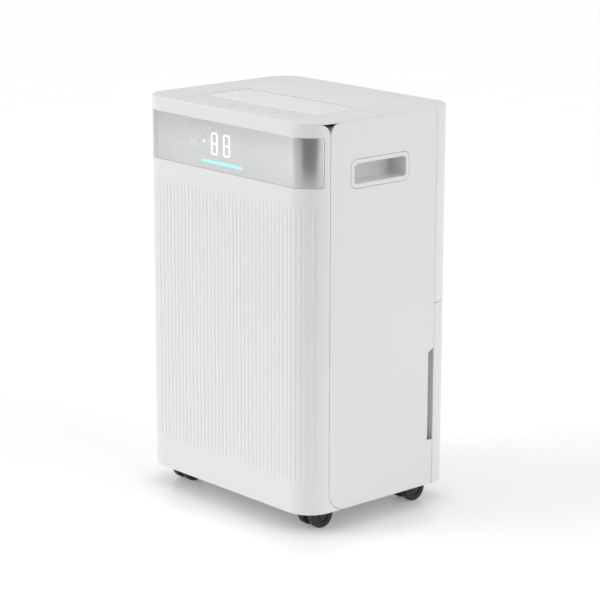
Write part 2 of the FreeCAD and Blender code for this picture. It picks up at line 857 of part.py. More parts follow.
def make_caster(word, x_side, y_side):
    """A twin-wheel swivel caster: a fork that turns on its stem, and wheels on their axle."""
    x, pivot = f"{x_side} * caster_x", f"{y_side} * caster_y"
    axle_y = f"{y_side} * (caster_y - caster_trail)"
    web = rod("X", (f"{x} - web_half", axle_y, "wheel_radius"), "web_radius", "2 * web_half")
    neck_y = [f"{y_side} * (caster_y - caster_trail)", f"{y_side} * (caster_y + plate_radius - 3)"]
    if y_side < 0:
        neck_y.reverse()
    neck = block(
        (f"{x} - web_half", neck_y[0], "wheel_radius + 6"),
        (f"{x} + web_half", neck_y[1], "plate_top - plate_thick / 2"),
    )
    plate = rod("Z", (x, pivot, "plate_top - plate_thick"), "plate_radius", "plate_thick")
    stem = rod("Z", (x, pivot, "plate_top - 1"), "stem_radius", "stem_length + 1")
    bore = rod("X", (f"{x} - 10", axle_y, "wheel_radius"), "axle_radius + running_gap", "20")
    keep("caster_fork_" + word, minus(union(web, neck, plate, stem), bore))

    half = "(web_half + 0.5 + wheel_width)"
    axle = rod("X", (f"{x} - {half} + 3", axle_y, "wheel_radius"), "axle_radius", f"2 * ({half} - 3)")
    wheels = [axle]
    for side in (-1, 1):
        wheels.append(make_wheel(side, x, axle_y))
    keep("caster_wheels_" + word, group(*wheels))


def make_wheel(side, x, axle_y):
    """One wheel, rounded at its tread edges, with a sunken ring round its hub."""
    inner = f"{side} * (web_half + 0.5)"
    outer = f"{side} * (web_half + 0.5 + wheel_width)"
    ends = [inner, outer] if side > 0 else [outer, inner]
    tyre = rod("X", (f"{x} + {ends[0]}", axle_y, "wheel_radius"), "wheel_radius", "wheel_width")
    smooth = doc.addObject("Part::Fillet", "Tread")
    smooth.Base = tyre
    doc.recompute()
    rims = [i for i, e in enumerate(tyre.Shape.Edges, 1) if isinstance(e.Curve, Part.Circle)]
    round_size = value("wheel_round")
    smooth.Edges = [(i, round_size, round_size) for i in rims]
    bore = rod("X", (f"{x} + {ends[0]}", axle_y, "wheel_radius"), "axle_radius + 0.02", "wheel_width - 3")
    if side < 0:
        place(bore, f"{x} + {ends[0]} + 3", axle_y, "wheel_radius")
    ring_start = f"{x} + {ends[1]} - hub_sink" if side > 0 else f"{x} + {ends[0]}"
    ring = rod("X", (ring_start, axle_y, "wheel_radius"), "hub_radius", "hub_sink")
    core = rod("X", (ring_start, axle_y, "wheel_radius"), "hub_radius - 4", "hub_sink")
    return minus(smooth, bore, minus(ring, core))


# Water tank


def make_tank():
    body = body_named("water_tank")
    end = "seam_y + half_gap"
    tub = [
        ("-tank_half", "tank_front"),
        ("tank_half", "tank_front"),
        ("tank_half", end),
        (arc_x(end, 0), end, "corner_radius", 1),
        ("seam_x", "half_depth"),
        ("-seam_x", "half_depth", "corner_radius", 1),
        (f"-({arc_x(end, 0)})", end),
        ("-tank_half", end),
    ]
    pad(body, "Z", "tank_bottom", "tank_rim - tank_bottom", tub)
    pad(body, "Z", "ground_gap", "tank_top - ground_gap", bent_shell(1, end, 0, "wall"))
    floor, depth = "tank_bottom + tank_wall", "tank_rim - tank_bottom - tank_wall"
    half = "(tank_half - tank_wall)"
    near, bend = "tank_front + tank_wall", f"{end} + tank_wall"
    pocket(body, "Z", floor, depth, rectangle(f"-{half}", half, near, f"{bend} + 1"))
    pool = [
        (f"-({arc_x(bend, 'wall')})", bend),
        (arc_x(bend, "wall"), bend, "corner_radius - wall", 1),
        ("seam_x", "inner_deep"),
        ("-seam_x", "inner_deep", "corner_radius - wall", 1),
    ]
    pocket(body, "Z", floor, depth, pool)
    # two ears on the front wall carry the float's pin
    for x in float_ear_places():
        ear = rectangle(near, "float_y + 6", "float_z - 8", "float_z + 6")
        pad(body, "X", x, "float_ear", ear)
    hole = ("float_y", "float_z", "float_pin + running_gap")
    pocket(body, "X", "float_x - float_span", "2 * float_span", hole)


def float_ear_places():
    """Low X of each ear of the float's hinge."""
    return ["float_x - float_span / 2 - float_ear", "float_x + float_span / 2"]


def make_float():
    """A foam block on an arm, hinged on a pin between the two ears."""
    half_pin = "(float_span / 2 + float_ear)"
    pin = rod("X", (f"float_x - {half_pin}", "float_y", "float_z"), "float_pin", f"2 * {half_pin}")
    sleeve_half = "(float_span / 2 - 0.5)"
    start = (f"float_x - {sleeve_half}", "float_y", "float_z")
    sleeve = rod("X", start, "float_pin + 2", f"2 * {sleeve_half}")
    arm = block(
        ("float_x - 6", "float_y", "float_z - 2"),
        ("float_x + 6", "float_y + float_arm + 2", "float_z + 2"),
    )
    foam = block(
        (f"float_x - {sleeve_half}", "float_y + float_arm", "float_z - float_height + 2"),
        (f"float_x + {sleeve_half}", "float_y + float_arm + float_block", "float_z + 2"),
    )
    keep("tank_float", union(pin, sleeve, arm, foam))


def make_lid():
    body = body_named("tank_lid")
    half = "(tank_half - fit_gap)"
    end = "seam_y + half_gap + tank_wall"
    outline = [
        (f"-{half}", "tank_front + fit_gap"),
        (half, "tank_front + fit_gap"),
        (half, end),
        (arc_x(end, "wall + fit_gap"), end, "fit_corner", 1),
        ("seam_x", "fit_deep"),
        ("-seam_x", "fit_deep", "fit_corner", 1),
        (f"-({arc_x(end, 'wall + fit_gap')})", end),
        (f"-{half}", end),
    ]
    drip = ("0", "drain_y", "drip_radius")
    pad(body, "Z", "tank_rim", "lid_thick", outline, drip)
    inner, gap = "tank_half - tank_wall - fit_gap", "tank_front + tank_wall + fit_gap"
    skirt = rectangle(f"-({inner})", inner, gap, "seam_y")
    hollow = rectangle(f"2 - ({inner})", f"{inner} - 2", f"{gap} + 2", "seam_y - 2")
    pad(body, "Z", "tank_rim - 4", "4", skirt, hollow)


# Inner structure


def make_front_frame():
    body = body_named("front_frame")
    # the frame clears the caster sockets and stands on a foot between them
    bottom = "socket_top + fit_gap"
    foot = "caster_x - housing - 1"
    outer = [
        ("-fit_half", bottom),
        (f"-({foot})", bottom),
        (f"-({foot})", "base_top"),
        (foot, "base_top"),
        (foot, bottom),
        ("fit_half", bottom),
        ("fit_half", "frame_top"),
        ("-fit_half", "frame_top"),
    ]
    left, right = "frame_bar - fit_half", "fit_half - frame_bar"
    upper = rectangle(left, right, "web_top", "frame_top - frame_bar")
    lower = rectangle(left, right, f"{bottom} + frame_bar", "web_top - frame_bar")
    pad(body, "Y", "frame_front", "frame_thick", outer, upper, lower)
    pad(body, "Y", "frame_front + 6", "3", lower)
    for side in (-1, 1):
        ends = ["seam_x + lug_inset", "seam_x + lug_inset + 14"]
        if side < 0:
            ends = [f"-({ends[1]})", f"-({ends[0]})"]
        lug = rectangle(*ends, "-seam_y - lug_reach", "lug_reach - seam_y")
        pad(body, "Z", "frame_top - lug_height", "lug_height", lug)
    holes = [(x, "frame_front + frame_thick / 2", "screw_shank + 0.05") for x in base_screw_places()]
    pocket(body, "Z", "base_top", "15", *holes)


def make_bay_wall():
    body = body_named("bay_wall")
    outline = rectangle("-fit_half", "fit_half", "base_bottom + base_rim + 1", "tray_bottom")
    pad(body, "Y", "bay_wall_y", "wall", outline)
    sides = [("-rail_x - 2", "-rail_x + 2"), ("-2", "2"), ("rail_x + 4", "rail_x + 8")]
    for low, high in sides:
        foot = rectangle(low, high, "base_top", "tray_bottom")
        pad(body, "Y", "bay_wall_y - 5", "8", foot)


def make_tray():
    """The deck that carries coils and blower, with the basin that catches the condensate."""
    body = body_named("drip_tray")
    front = "frame_back + fit_gap"
    outline = [
        ("-fit_half", front),
        ("fit_half", front),
        ("fit_half", "seam_y", "fit_corner", 1),
        ("seam_x", "fit_deep"),
        ("-seam_x", "fit_deep", "fit_corner", 1),
        ("-fit_half", "seam_y"),
    ]
    pad(body, "Z", "tray_bottom", "tray_thick", outline)
    basin = rectangle("-basin_half", "basin_half", "basin_front", "basin_back")
    hollow = rectangle(
        "basin_wall - basin_half",
        "basin_half - basin_wall",
        "basin_front + basin_wall",
        "basin_back - basin_wall",
    )
    pad(body, "Z", "tray_top", "basin_height", basin, hollow)
    holes = [("0", "drain_y", "drain_radius")]
    holes += [(x, "compressor_y", "tube_radius + 2") for x in ("discharge_x", "suction_x")]
    pocket(body, "Z", "tray_bottom - 1", "tray_thick + 2", *holes)
    spout = ("drain_x", "spigot_z", "spigot_radius - spigot_wall")
    pocket(body, "Y", "basin_back - basin_wall - 1", "basin_wall + 2", spout)


def make_coil(name, y):
    """A finned block; slots between the fins leave a spine along the middle."""
    body = body_named(name)
    front, back = f"{y} - coil_thick / 2", f"{y} + coil_thick / 2"
    pad(body, "Z", "tray_top", "coil_height", rectangle("-coil_half", "coil_half", front, back))
    count = "floor(2 * coil_half / fin_pitch) - 1"
    first = "fin_pitch - fin_slot / 2 - coil_half"
    slots = [
        rectangle(first, f"{first} + fin_slot", f"{front} - 1", f"{y} - 3"),
        rectangle(first, f"{first} + fin_slot", f"{y} + 3", f"{back} + 1"),
    ]
    feature = pocket(body, "Z", "tray_top + 3", "coil_height - 6", *slots)
    repeat(body, feature, "X", count, "fin_pitch")


def make_return_bends():
    """The half rings that join the tubes at both ends of each coil."""
    bends = []
    for y in ("condenser_y", "evaporator_y"):
        for side, first in ((1, 1), (-1, 0)):
            for pair in range(4):
                ring = doc.addObject("Part::Torus", "Bend")
                turn = Rotation(AXES["X"], 90) * Rotation(UP, -90 * side)
                ring.Placement = Placement(Vector(), turn)
                ring.setExpression("Radius1", formula("tube_pitch / 2"))
                ring.setExpression("Radius2", formula("tube_radius"))
                ring.Angle3 = 180
                z = f"tube_first + ({first + 2 * pair} + 0.5) * tube_pitch"
                bends.append(place(ring, f"{side} * coil_half", y, z))
    keep("return_bends", group(*bends))


def make_coil_frame():
    body = body_named("coil_frame")
    inner = "seam_x - coil_frame_post"
    front = "basin_back"
    low, high = "tray_top", "cover_top - 6"
    outline = [
        ("-seam_x", low),
        (f"-({inner})", low),
        (f"-({inner})", f"{high} - coil_frame_post"),
        (inner, f"{high} - coil_frame_post"),
        (inner, low),
        ("seam_x", low),
        ("seam_x", high),
        ("-seam_x", high),
    ]
    pad(body, "Y", front, "coil_frame_depth", outline)
    hole = [(x, z, "screw_shank + 0.05") for x, z in rear_screw_places()]
    pocket(body, "Y", front, "coil_frame_depth + 1", *hole)


def make_compressor():
    x, y = "compressor_x", "compressor_y"
    plate = block(
        (f"{x} - foot_x - foot_radius", f"{y} - foot_y - foot_radius / 2", "compressor_base"),
        (f"{x} + foot_x + foot_radius", f"{y} + foot_y + foot_radius / 2", "compressor_base + 4"),
    )
    under = "compressor_base - 1"
    holes = [rod("Z", (a, b, under), "axle_radius + 0.2", "6") for a, b in compressor_feet_places()]
    can = rod("Z", (x, y, "compressor_base + 3"), "compressor_radius", "compressor_height")
    doc.recompute()
    crown = doc.addObject("Part::Fillet", "Crown")
    crown.Base = can
    top = value("compressor_base + 3 + compressor_height")
    rims = [i for i, e in enumerate(can.Shape.Edges, 1) if lies_at(e, "Z", top)]
    size = value("compressor_crown")
    crown.Edges = [(i, size, size) for i in rims]
    keep("compressor", union(minus(plate, *holes), crown))
    feet, bolts = [], []
    for a, b in compressor_feet_places():
        rubber = rod("Z", (a, b, "base_top"), "foot_radius", "foot_height")
        feet.append(minus(rubber, rod("Z", (a, b, "base_top"), "axle_radius + 0.2", "foot_height")))
        shank = rod("Z", (a, b, "base_bottom + 1"), "axle_radius", "base_floor + foot_height + 6")
        bolts.append(union(shank, rod("Z", (a, b, "compressor_base + 4"), "axle_radius + 2", "4")))
    keep("compressor_feet", group(*feet))
    keep("compressor_bolts", group(*bolts))
    lid = "compressor_base + 3 + compressor_height"
    cap = block((f"{x} - 16", f"{y} - 12", lid), (f"{x} + 10", f"{y} + 12", f"{lid} + 18"))
    keep("terminal_cap", cap)
    tank_x = f"{x} + compressor_radius + accumulator_radius + 6"
    low = "compressor_base + 30"
    bottle = rod("Z", (tank_x, y, low), "accumulator_radius", "accumulator_height")
    clip = block(
        (f"{x} + compressor_radius - 0.5", f"{y} - 4", f"{low} + 40"),
        (f"{tank_x} - accumulator_radius + 2", f"{y} + 4", f"{low} + 60"),
    )
    keep("accumulator", minus(union(bottle, clip), rod("Z", (x, y, low), "compressor_radius", "100")))


def compressor_feet_places():
    x, y = "compressor_x", "compressor_y"
    return [(f"{x} + {a} * foot_x", f"{y} + {b} * foot_y") for a in (-1, 1) for b in (-1, 1)]


def make_pipes():
    """Discharge and suction lines on the right, capillary tube and filter drier on the left."""
    y, near, far = "compressor_y", "condenser_y", "evaporator_y"
    lid = "compressor_base + 3 + compressor_height"
    hot_x, hot_z = "compressor_x + 20", f"{lid} + 50"
    hot = [
        (hot_x, y, lid),
        (hot_x, y, hot_z),
        ("discharge_x", y, hot_z),
        ("discharge_x", y, "tube_first"),
        ("discharge_x", near, "tube_first"),
        ("coil_half", near, "tube_first"),
    ]
    radius = value("tube_radius")
    keep("discharge_pipe", bent_tube(hot, radius, 14))
    cold_x = "compressor_x + compressor_radius + accumulator_radius + 6"
    bottle_top = "compressor_base + 30 + accumulator_height"
    cold = [
        (cold_x, y, bottle_top),
        (cold_x, y, f"{lid} + 30"),
        ("suction_x", y, f"{lid} + 30"),
        ("suction_x", y, "tube_first"),
        ("suction_x", far, "tube_first"),
        ("coil_half", far, "tube_first"),
    ]
    keep("suction_pipe", bent_tube(cold, radius, 14))
    last = "tube_first + 8 * tube_pitch"
    out, low = "-(coil_half + 30)", f"{last} - 110"
    bottle_low = f"{last} - 90"
    into = [("-coil_half", near, last), (out, near, last), (out, near, f"{bottle_low} + 60")]
    back = [
        (out, near, bottle_low),
        (out, near, low),
        (out, far, low),
        (out, far, last),
        ("-coil_half", far, last),
    ]
    keep("capillary_tube", group(bent_tube(into, 1.5, 8), bent_tube(back, 1.5, 8)))
    keep("filter_drier", rod("Z", (out, near, bottle_low), "9", "60"))


# Blower


def scoop(inset, top):
    """The blower housing's outline: a round bottom that widens to the outlet."""
    radius, half = f"(scroll_radius - {inset})", f"(outlet_half - 2 - {inset})"
    return [
        (f"-{radius}", "fan_z", radius, 1),
        ("0", f"fan_z - {radius}", radius, 1),
        (radius, "fan_z"),
        (half, top),
        (f"-{half}", top),
    ]


def make_blower():
    body = body_named("blower_housing")
    top = "body_top - grille_drop - fit_gap"
    depth = "scroll_back - scroll_front"
    pad(body, "Y", "scroll_front", depth, scoop("0", top))
    inside = scoop("scroll_wall", f"{top} + 1")
    pocket(body, "Y", "scroll_front + scroll_wall", f"{depth} - 2 * scroll_wall", inside)
    pocket(body, "Y", "scroll_back - scroll_wall - 1", "scroll_wall + 2", ("0", "fan_z", "fan_eye"))
    pocket(body, "Y", "scroll_front - 1", "scroll_wall + 2", ("0", "fan_z", "shaft_radius + 2"))
    foot = rectangle("-24", "24", "tray_top", "fan_z - scroll_radius + 4")
    pad(body, "Y", "scroll_front + 20", "6", foot)
    pad(body, "Y", "scroll_back - 26", "6", foot)

    wheel = body_named("fan_wheel")
    disc = ("0", "fan_z", "fan_radius")
    bore = ("0", "fan_z", "shaft_radius + 0.02")
    pad(wheel, "Y", "fan_front", "2.5", disc, bore)
    pad(wheel, "Y", "fan_front - 6", "22", ("0", "fan_z", "shaft_radius + 8"), bore)
    rim = "fan_back - 3"
    pad(wheel, "Y", rim, "3", disc, ("0", "fan_z", "fan_eye"))
    blade = [
        ("fan_eye", "fan_z"),
        ("fan_radius - 0.5", "fan_z + 8"),
        ("fan_radius - 0.5", "fan_z + 10"),
        ("fan_eye", "fan_z + 2"),
    ]
    feature = pad(wheel, "Y", "fan_front + 1", f"{rim} - fan_front", blade)
    spin_all_round(wheel, feature)

    y = "scroll_front - motor_length"
    motor = rod("Y", ("0", y, "fan_z"), "motor_radius", "motor_length")
    flange = rod("Y", ("0", "scroll_front - 3", "fan_z"), "motor_radius + 6", "3")
    hole = rod("Y", ("0", f"{y} + 4", "fan_z"), "shaft_radius + running_gap", "motor_length")
    keep("fan_motor", minus(union(motor, flange), hole))
    shaft_end = "fan_front + 14"
    keep("fan_shaft", rod("Y", ("0", f"{y} + 5", "fan_z"), "shaft_radius", f"{shaft_end} - ({y} + 5)"))


def spin_all_round(body, feature):
    """Repeat a blade round the wheel's own axis, drawn as a construction line in a sketch."""
    sketch = draw(body, "X", "0", [])
    line = Part.LineSegment(Vector(0, value("fan_z"), 0), Vector(50, value("fan_z"), 0))
    item = sketch.addGeometry(line, True)
    ends = [("DistanceX", "u", 1, 0, "0"), ("DistanceX", "w", 2, 50, "50")]
    for kind, letter, pos, number, text in ends:
        constraint = Sketcher.Constraint(kind, -1, 1, item, pos, number)
        bind_constraint(sketch, "axis" + letter, constraint, text)
    for letter, pos in (("v", 1), ("z", 2)):
        constraint = Sketcher.Constraint("DistanceY", -1, 1, item, pos, value("fan_z"))
        bind_constraint(sketch, "axis" + letter, constraint, "fan_z")
    pattern = body.newObject("PartDesign::PolarPattern", "Blades")
    pattern.Originals = [feature]
    pattern.Axis = (sketch, ["Axis0"])
    pattern.Angle = 360
    pattern.setExpression("Occurrences", formula("blade_count"))
    body.Tip = pattern
    doc.recompute()


# Electrics


def make_electrics():
    back = "frame_front + 6"
    body = body_named("control_box")
    plate = rectangle("-90", "90", "base_top + 74", "base_top + 214")
    inner = rectangle("-88", "88", "base_top + 76", "base_top + 212")
    pad(body, "Y", f"{back} - 26", "26", plate)
    pocket(body, "Y", f"{back} - 27", "25", inner)
    board = block(
        ("fit_gap - 88", f"{back} - 12", "base_top + 76 + fit_gap"),
        ("88 - fit_gap", f"{back} - 12 + board_thick", "base_top + 212 - fit_gap"),
    )
    keep("control_board", board)
    x, y = "2 * capacitor_radius - 1 - caster_x", "housing + 11.5 - caster_y"
    keep("run_capacitor", rod("Z", (x, y, "base_top"), "capacitor_radius", "64"))
    under = "cover_top - fit_gap"
    touch = block(
        ("-outlet_half", "outlet_front - 43", f"{under} - board_thick"),
        ("outlet_half", "outlet_front - 16", under),
    )
    keep("touch_board", touch)
    switch = block(
        ("float_x - 15", "float_y + float_arm", "tray_bottom - 8"),
        ("float_x + 15", "float_y + float_arm + 18", "tray_bottom"),
    )
    keep("level_switch", switch)
    front = "basin_back"
    sensor = block(
        ("-seam_x + 1", f"{front} - 4", "cover_top - 80"),
        ("coil_frame_post - seam_x - 1", front, "cover_top - 50"),
    )
    keep("humidity_sensor", sensor)


# Services at the rear


def make_services():
    x, z = "drain_x", "spigot_z"
    length = "half_depth - 2 - basin_back"
    outer = rod("Y", (x, "basin_back", z), "spigot_radius", length)
    hole = rod("Y", (x, "basin_back", z), "spigot_radius - spigot_wall", length)
    keep("drain_spigot", minus(outer, hole))
    bore = "spigot_radius - spigot_wall - running_gap"
    plug = rod("Y", (x, "half_depth - 14", z), bore, "12")
    head = rod("Y", (x, "half_depth - 2", z), "spigot_radius - 0.6", "1.8")
    keep("drain_plug", union(plug, head))
    x = "-drain_x"
    barrel = rod("Y", (x, "inner_deep - 3", z), "gland_radius", "wall + 3")
    flange = rod("Y", (x, "inner_deep - 3", z), "gland_radius + 3", "3")
    hole = rod("Y", (x, "inner_deep - 4", z), "cord_radius", "wall + 5")
    keep("cord_gland", minus(union(barrel, flange), hole))


def make_all():
    make_front_cover()
    make_display()
    for side, word in ((-1, "left"), (1, "right")):
        make_side_panel("side_panel_" + word, side)
        make_handle(side, word)
    make_grip_screws()
    make_top_cover()
    make_outlet_grille()
    make_rear_cover()
    make_rear_screws()
    make_filter()
    make_base_pan()
    make_base_screws()
    for word, x_side, y_side in caster_places():
        make_caster(word, x_side, y_side)
    make_tank()
    make_float()
    make_lid()
    make_front_frame()
    make_bay_wall()
    make_tray()
    make_coil("condenser", "condenser_y")
    make_coil("evaporator", "evaporator_y")
    make_return_bends()
    make_coil_frame()
    make_compressor()
    make_pipes()
    make_blower()
    make_electrics()
    make_services()


make_all()
doc.recompute()

broken = [item.Label for item in doc.Objects if {"Invalid", "Error"} & set(item.State)]
if broken:
    raise RuntimeError(f"failed objects: {broken}")
for piece in nodes:
    if piece.Shape.isNull() or not piece.Shape.isValid() or not piece.Shape.Solids:
        raise RuntimeError(f"{piece.Label} has no sound shape")

os.makedirs("parts", exist_ok=True)
for piece in nodes:
    piece.Shape.exportStep(f"parts/{piece.Label}.step")
    print(f"{piece.Label}: {len(piece.Shape.Solids)} solids, {piece.Shape.Volume / 1000:.1f} cm3")
print(len(nodes), "nodes")
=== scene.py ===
import json
import math

import bmesh
import bpy
from mathutils import Matrix, Vector


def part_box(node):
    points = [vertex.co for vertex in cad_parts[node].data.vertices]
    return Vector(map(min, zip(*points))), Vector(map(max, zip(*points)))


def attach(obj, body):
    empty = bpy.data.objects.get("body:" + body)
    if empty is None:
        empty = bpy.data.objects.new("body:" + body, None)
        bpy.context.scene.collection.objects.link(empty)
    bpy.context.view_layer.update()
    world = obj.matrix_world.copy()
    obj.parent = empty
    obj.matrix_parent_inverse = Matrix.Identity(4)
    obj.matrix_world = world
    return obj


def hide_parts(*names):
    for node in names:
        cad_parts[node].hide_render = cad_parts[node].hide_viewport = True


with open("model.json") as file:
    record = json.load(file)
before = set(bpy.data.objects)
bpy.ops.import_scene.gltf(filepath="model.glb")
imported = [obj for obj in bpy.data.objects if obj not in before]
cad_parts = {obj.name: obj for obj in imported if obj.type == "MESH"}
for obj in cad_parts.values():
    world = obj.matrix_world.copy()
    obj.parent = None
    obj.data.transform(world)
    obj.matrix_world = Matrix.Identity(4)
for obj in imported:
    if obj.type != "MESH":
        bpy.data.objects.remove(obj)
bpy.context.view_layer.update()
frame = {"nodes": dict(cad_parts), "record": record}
nodes = frame["nodes"]
scene = bpy.context.scene
mm = 0.001

# The cabinet's own places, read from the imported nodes.
coverLow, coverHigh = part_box("front_cover")
lensLow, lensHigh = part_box("display_lens")
halfWidth = coverHigh.x
halfDepth = -coverLow.y
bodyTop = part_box("top_cover")[1].z
coverTop = coverHigh.z
bodyBottom = coverLow.z
cornerRadius = 40 * mm
seamX = halfWidth - cornerRadius
seamY = halfDepth - cornerRadius
quarterArc = cornerRadius * math.pi / 2


def startGroup(name, inputs, outputs):
    tree = bpy.data.node_groups.new(name, "ShaderNodeTree")
    for label, kind, value in inputs:
        socket = tree.interface.new_socket(name=label, in_out="INPUT", socket_type="NodeSocket" + kind)
        if value is not None:
            socket.default_value = value
    for label, kind in outputs:
        tree.interface.new_socket(name=label, in_out="OUTPUT", socket_type="NodeSocket" + kind)
    return tree, tree.nodes.new("NodeGroupInput"), tree.nodes.new("NodeGroupOutput")


def addNode(tree, kind, settings=None, **inputs):
    node = tree.nodes.new(kind)
    for name, value in (settings or {}).items():
        setattr(node, name, value)
    for name, value in inputs.items():
        key = int(name[2:]) if name.startswith("in") and name[2:].isdigit() else name
        if isinstance(value, bpy.types.NodeSocket):
            tree.links.new(value, node.inputs[key])
        else:
            node.inputs[key].default_value = value
    return node


def mathNode(tree, operation, first, second=0.0):
    node = addNode(tree, "ShaderNodeMath", {"operation": operation}, in0=first, in1=second)
    return node.outputs[0]


def mapRange(tree, value, low, high, toLow=0.0, toHigh=1.0):
    settings = {"interpolation_type": "SMOOTHSTEP"}
    node = addNode(tree, "ShaderNodeMapRange", settings, in0=value, in1=low, in2=high, in3=toLow, in4=toHigh)
    return node.outputs[0]


def noiseNode(tree, vector, scale, detail=2.0, roughness=0.5):
    node = addNode(tree, "ShaderNodeTexNoise", None, Vector=vector, Scale=scale, Detail=detail)
    node.inputs["Roughness"].default_value = roughness
    return node.outputs["Fac"]


def makeMouldGrain():
    # the fine spark-eroded texture of moulded plastic, with slow flow shades under it
    tree, given, result = startGroup(
        "mouldGrain",
        [("Vector", "Vector", None), ("Grain Scale", "Float", 900.0), ("Flow Scale", "Float", 9.0)],
        [("Height", "Float"), ("Flow", "Float"), ("Speck", "Float")],
    )
    fine = noiseNode(tree, given.outputs["Vector"], given.outputs["Grain Scale"], 3.0, 0.6)
    flow = noiseNode(tree, given.outputs["Vector"], given.outputs["Flow Scale"], 2.0, 0.5)
    coarse = mathNode(tree, "MULTIPLY", given.outputs["Grain Scale"], 0.31)
    speck = noiseNode(tree, given.outputs["Vector"], coarse, 1.0, 0.4)
    tree.links.new(fine, result.inputs["Height"])
    tree.links.new(flow, result.inputs["Flow"])
    tree.links.new(mapRange(tree, speck, 0.62, 0.75), result.inputs["Speck"])
    return tree


def makeEdgeRub():
    # a mask of the rubbed edges: where the rounded normal leaves the true one, broken up by noise
    tree, given, result = startGroup(
        "edgeRub",
        [("Vector", "Vector", None), ("Width", "Float", 0.0012), ("Break Scale", "Float", 120.0)],
        [("Mask", "Float")],
    )
    rounded = addNode(tree, "ShaderNodeBevel", {"samples": 4}, Radius=given.outputs["Width"])
    true = tree.nodes.new("ShaderNodeNewGeometry")
    dot = addNode(
        tree, "ShaderNodeVectorMath", {"operation": "DOT_PRODUCT"},
        in0=rounded.outputs[0], in1=true.outputs["Normal"],
    )
    edge = mapRange(tree, dot.outputs["Value"], 0.995, 0.86)
    breaks = noiseNode(tree, given.outputs["Vector"], given.outputs["Break Scale"], 3.0, 0.6)
    mask = mathNode(tree, "MULTIPLY", edge, mapRange(tree, breaks, 0.38, 0.62))
    tree.links.new(mask, result.inputs["Mask"])
    return tree


def makeSettledDust():
    # thin dust on what faces up, thicker in patches
    tree, given, result = startGroup(
        "settledDust",
        [("Vector", "Vector", None), ("Patch Scale", "Float", 30.0), ("Fine Scale", "Float", 600.0)],
        [("Mask", "Float")],
    )
    true = tree.nodes.new("ShaderNodeNewGeometry")
    parts = addNode(tree, "ShaderNodeSeparateXYZ", None, in0=true.outputs["Normal"])
    upward = mapRange(tree, parts.outputs["Z"], 0.3, 0.95)
    patches = noiseNode(tree, given.outputs["Vector"], given.outputs["Patch Scale"], 3.0, 0.6)
    grains = noiseNode(tree, given.outputs["Vector"], given.outputs["Fine Scale"], 2.0, 0.6)
    lying = mathNode(tree, "MULTIPLY", upward, mapRange(tree, patches, 0.4, 0.7))
    mask = mathNode(tree, "MULTIPLY", lying, mapRange(tree, grains, 0.35, 0.65, 0.5, 1.0))
    tree.links.new(mask, result.inputs["Mask"])
    return tree


def makeBrushLines():
    # drawing lines along one axis of a metal or a moulding, given by the stretch
    tree, given, result = startGroup(
        "brushLines",
        [("Vector", "Vector", None), ("Stretch", "Vector", (1.0, 1.0, 0.02)), ("Line Scale", "Float", 700.0)],
        [("Height", "Float"), ("Tone", "Float")],
    )
    stretched = addNode(
        tree, "ShaderNodeVectorMath", {"operation": "MULTIPLY"},
        in0=given.outputs["Vector"], in1=given.outputs["Stretch"],
    )
    lines = noiseNode(tree, stretched.outputs[0], given.outputs["Line Scale"], 2.0, 0.6)
    tree.links.new(lines, result.inputs["Height"])
    tree.links.new(mapRange(tree, lines, 0.35, 0.65), result.inputs["Tone"])
    return tree


mouldGrain = makeMouldGrain()
edgeRub = makeEdgeRub()
settledDust = makeSettledDust()
brushLines = makeBrushLines()


def shaded(colour, factor):
    return tuple(min(1.0, part * factor) for part in colour[:3]) + (1.0,)


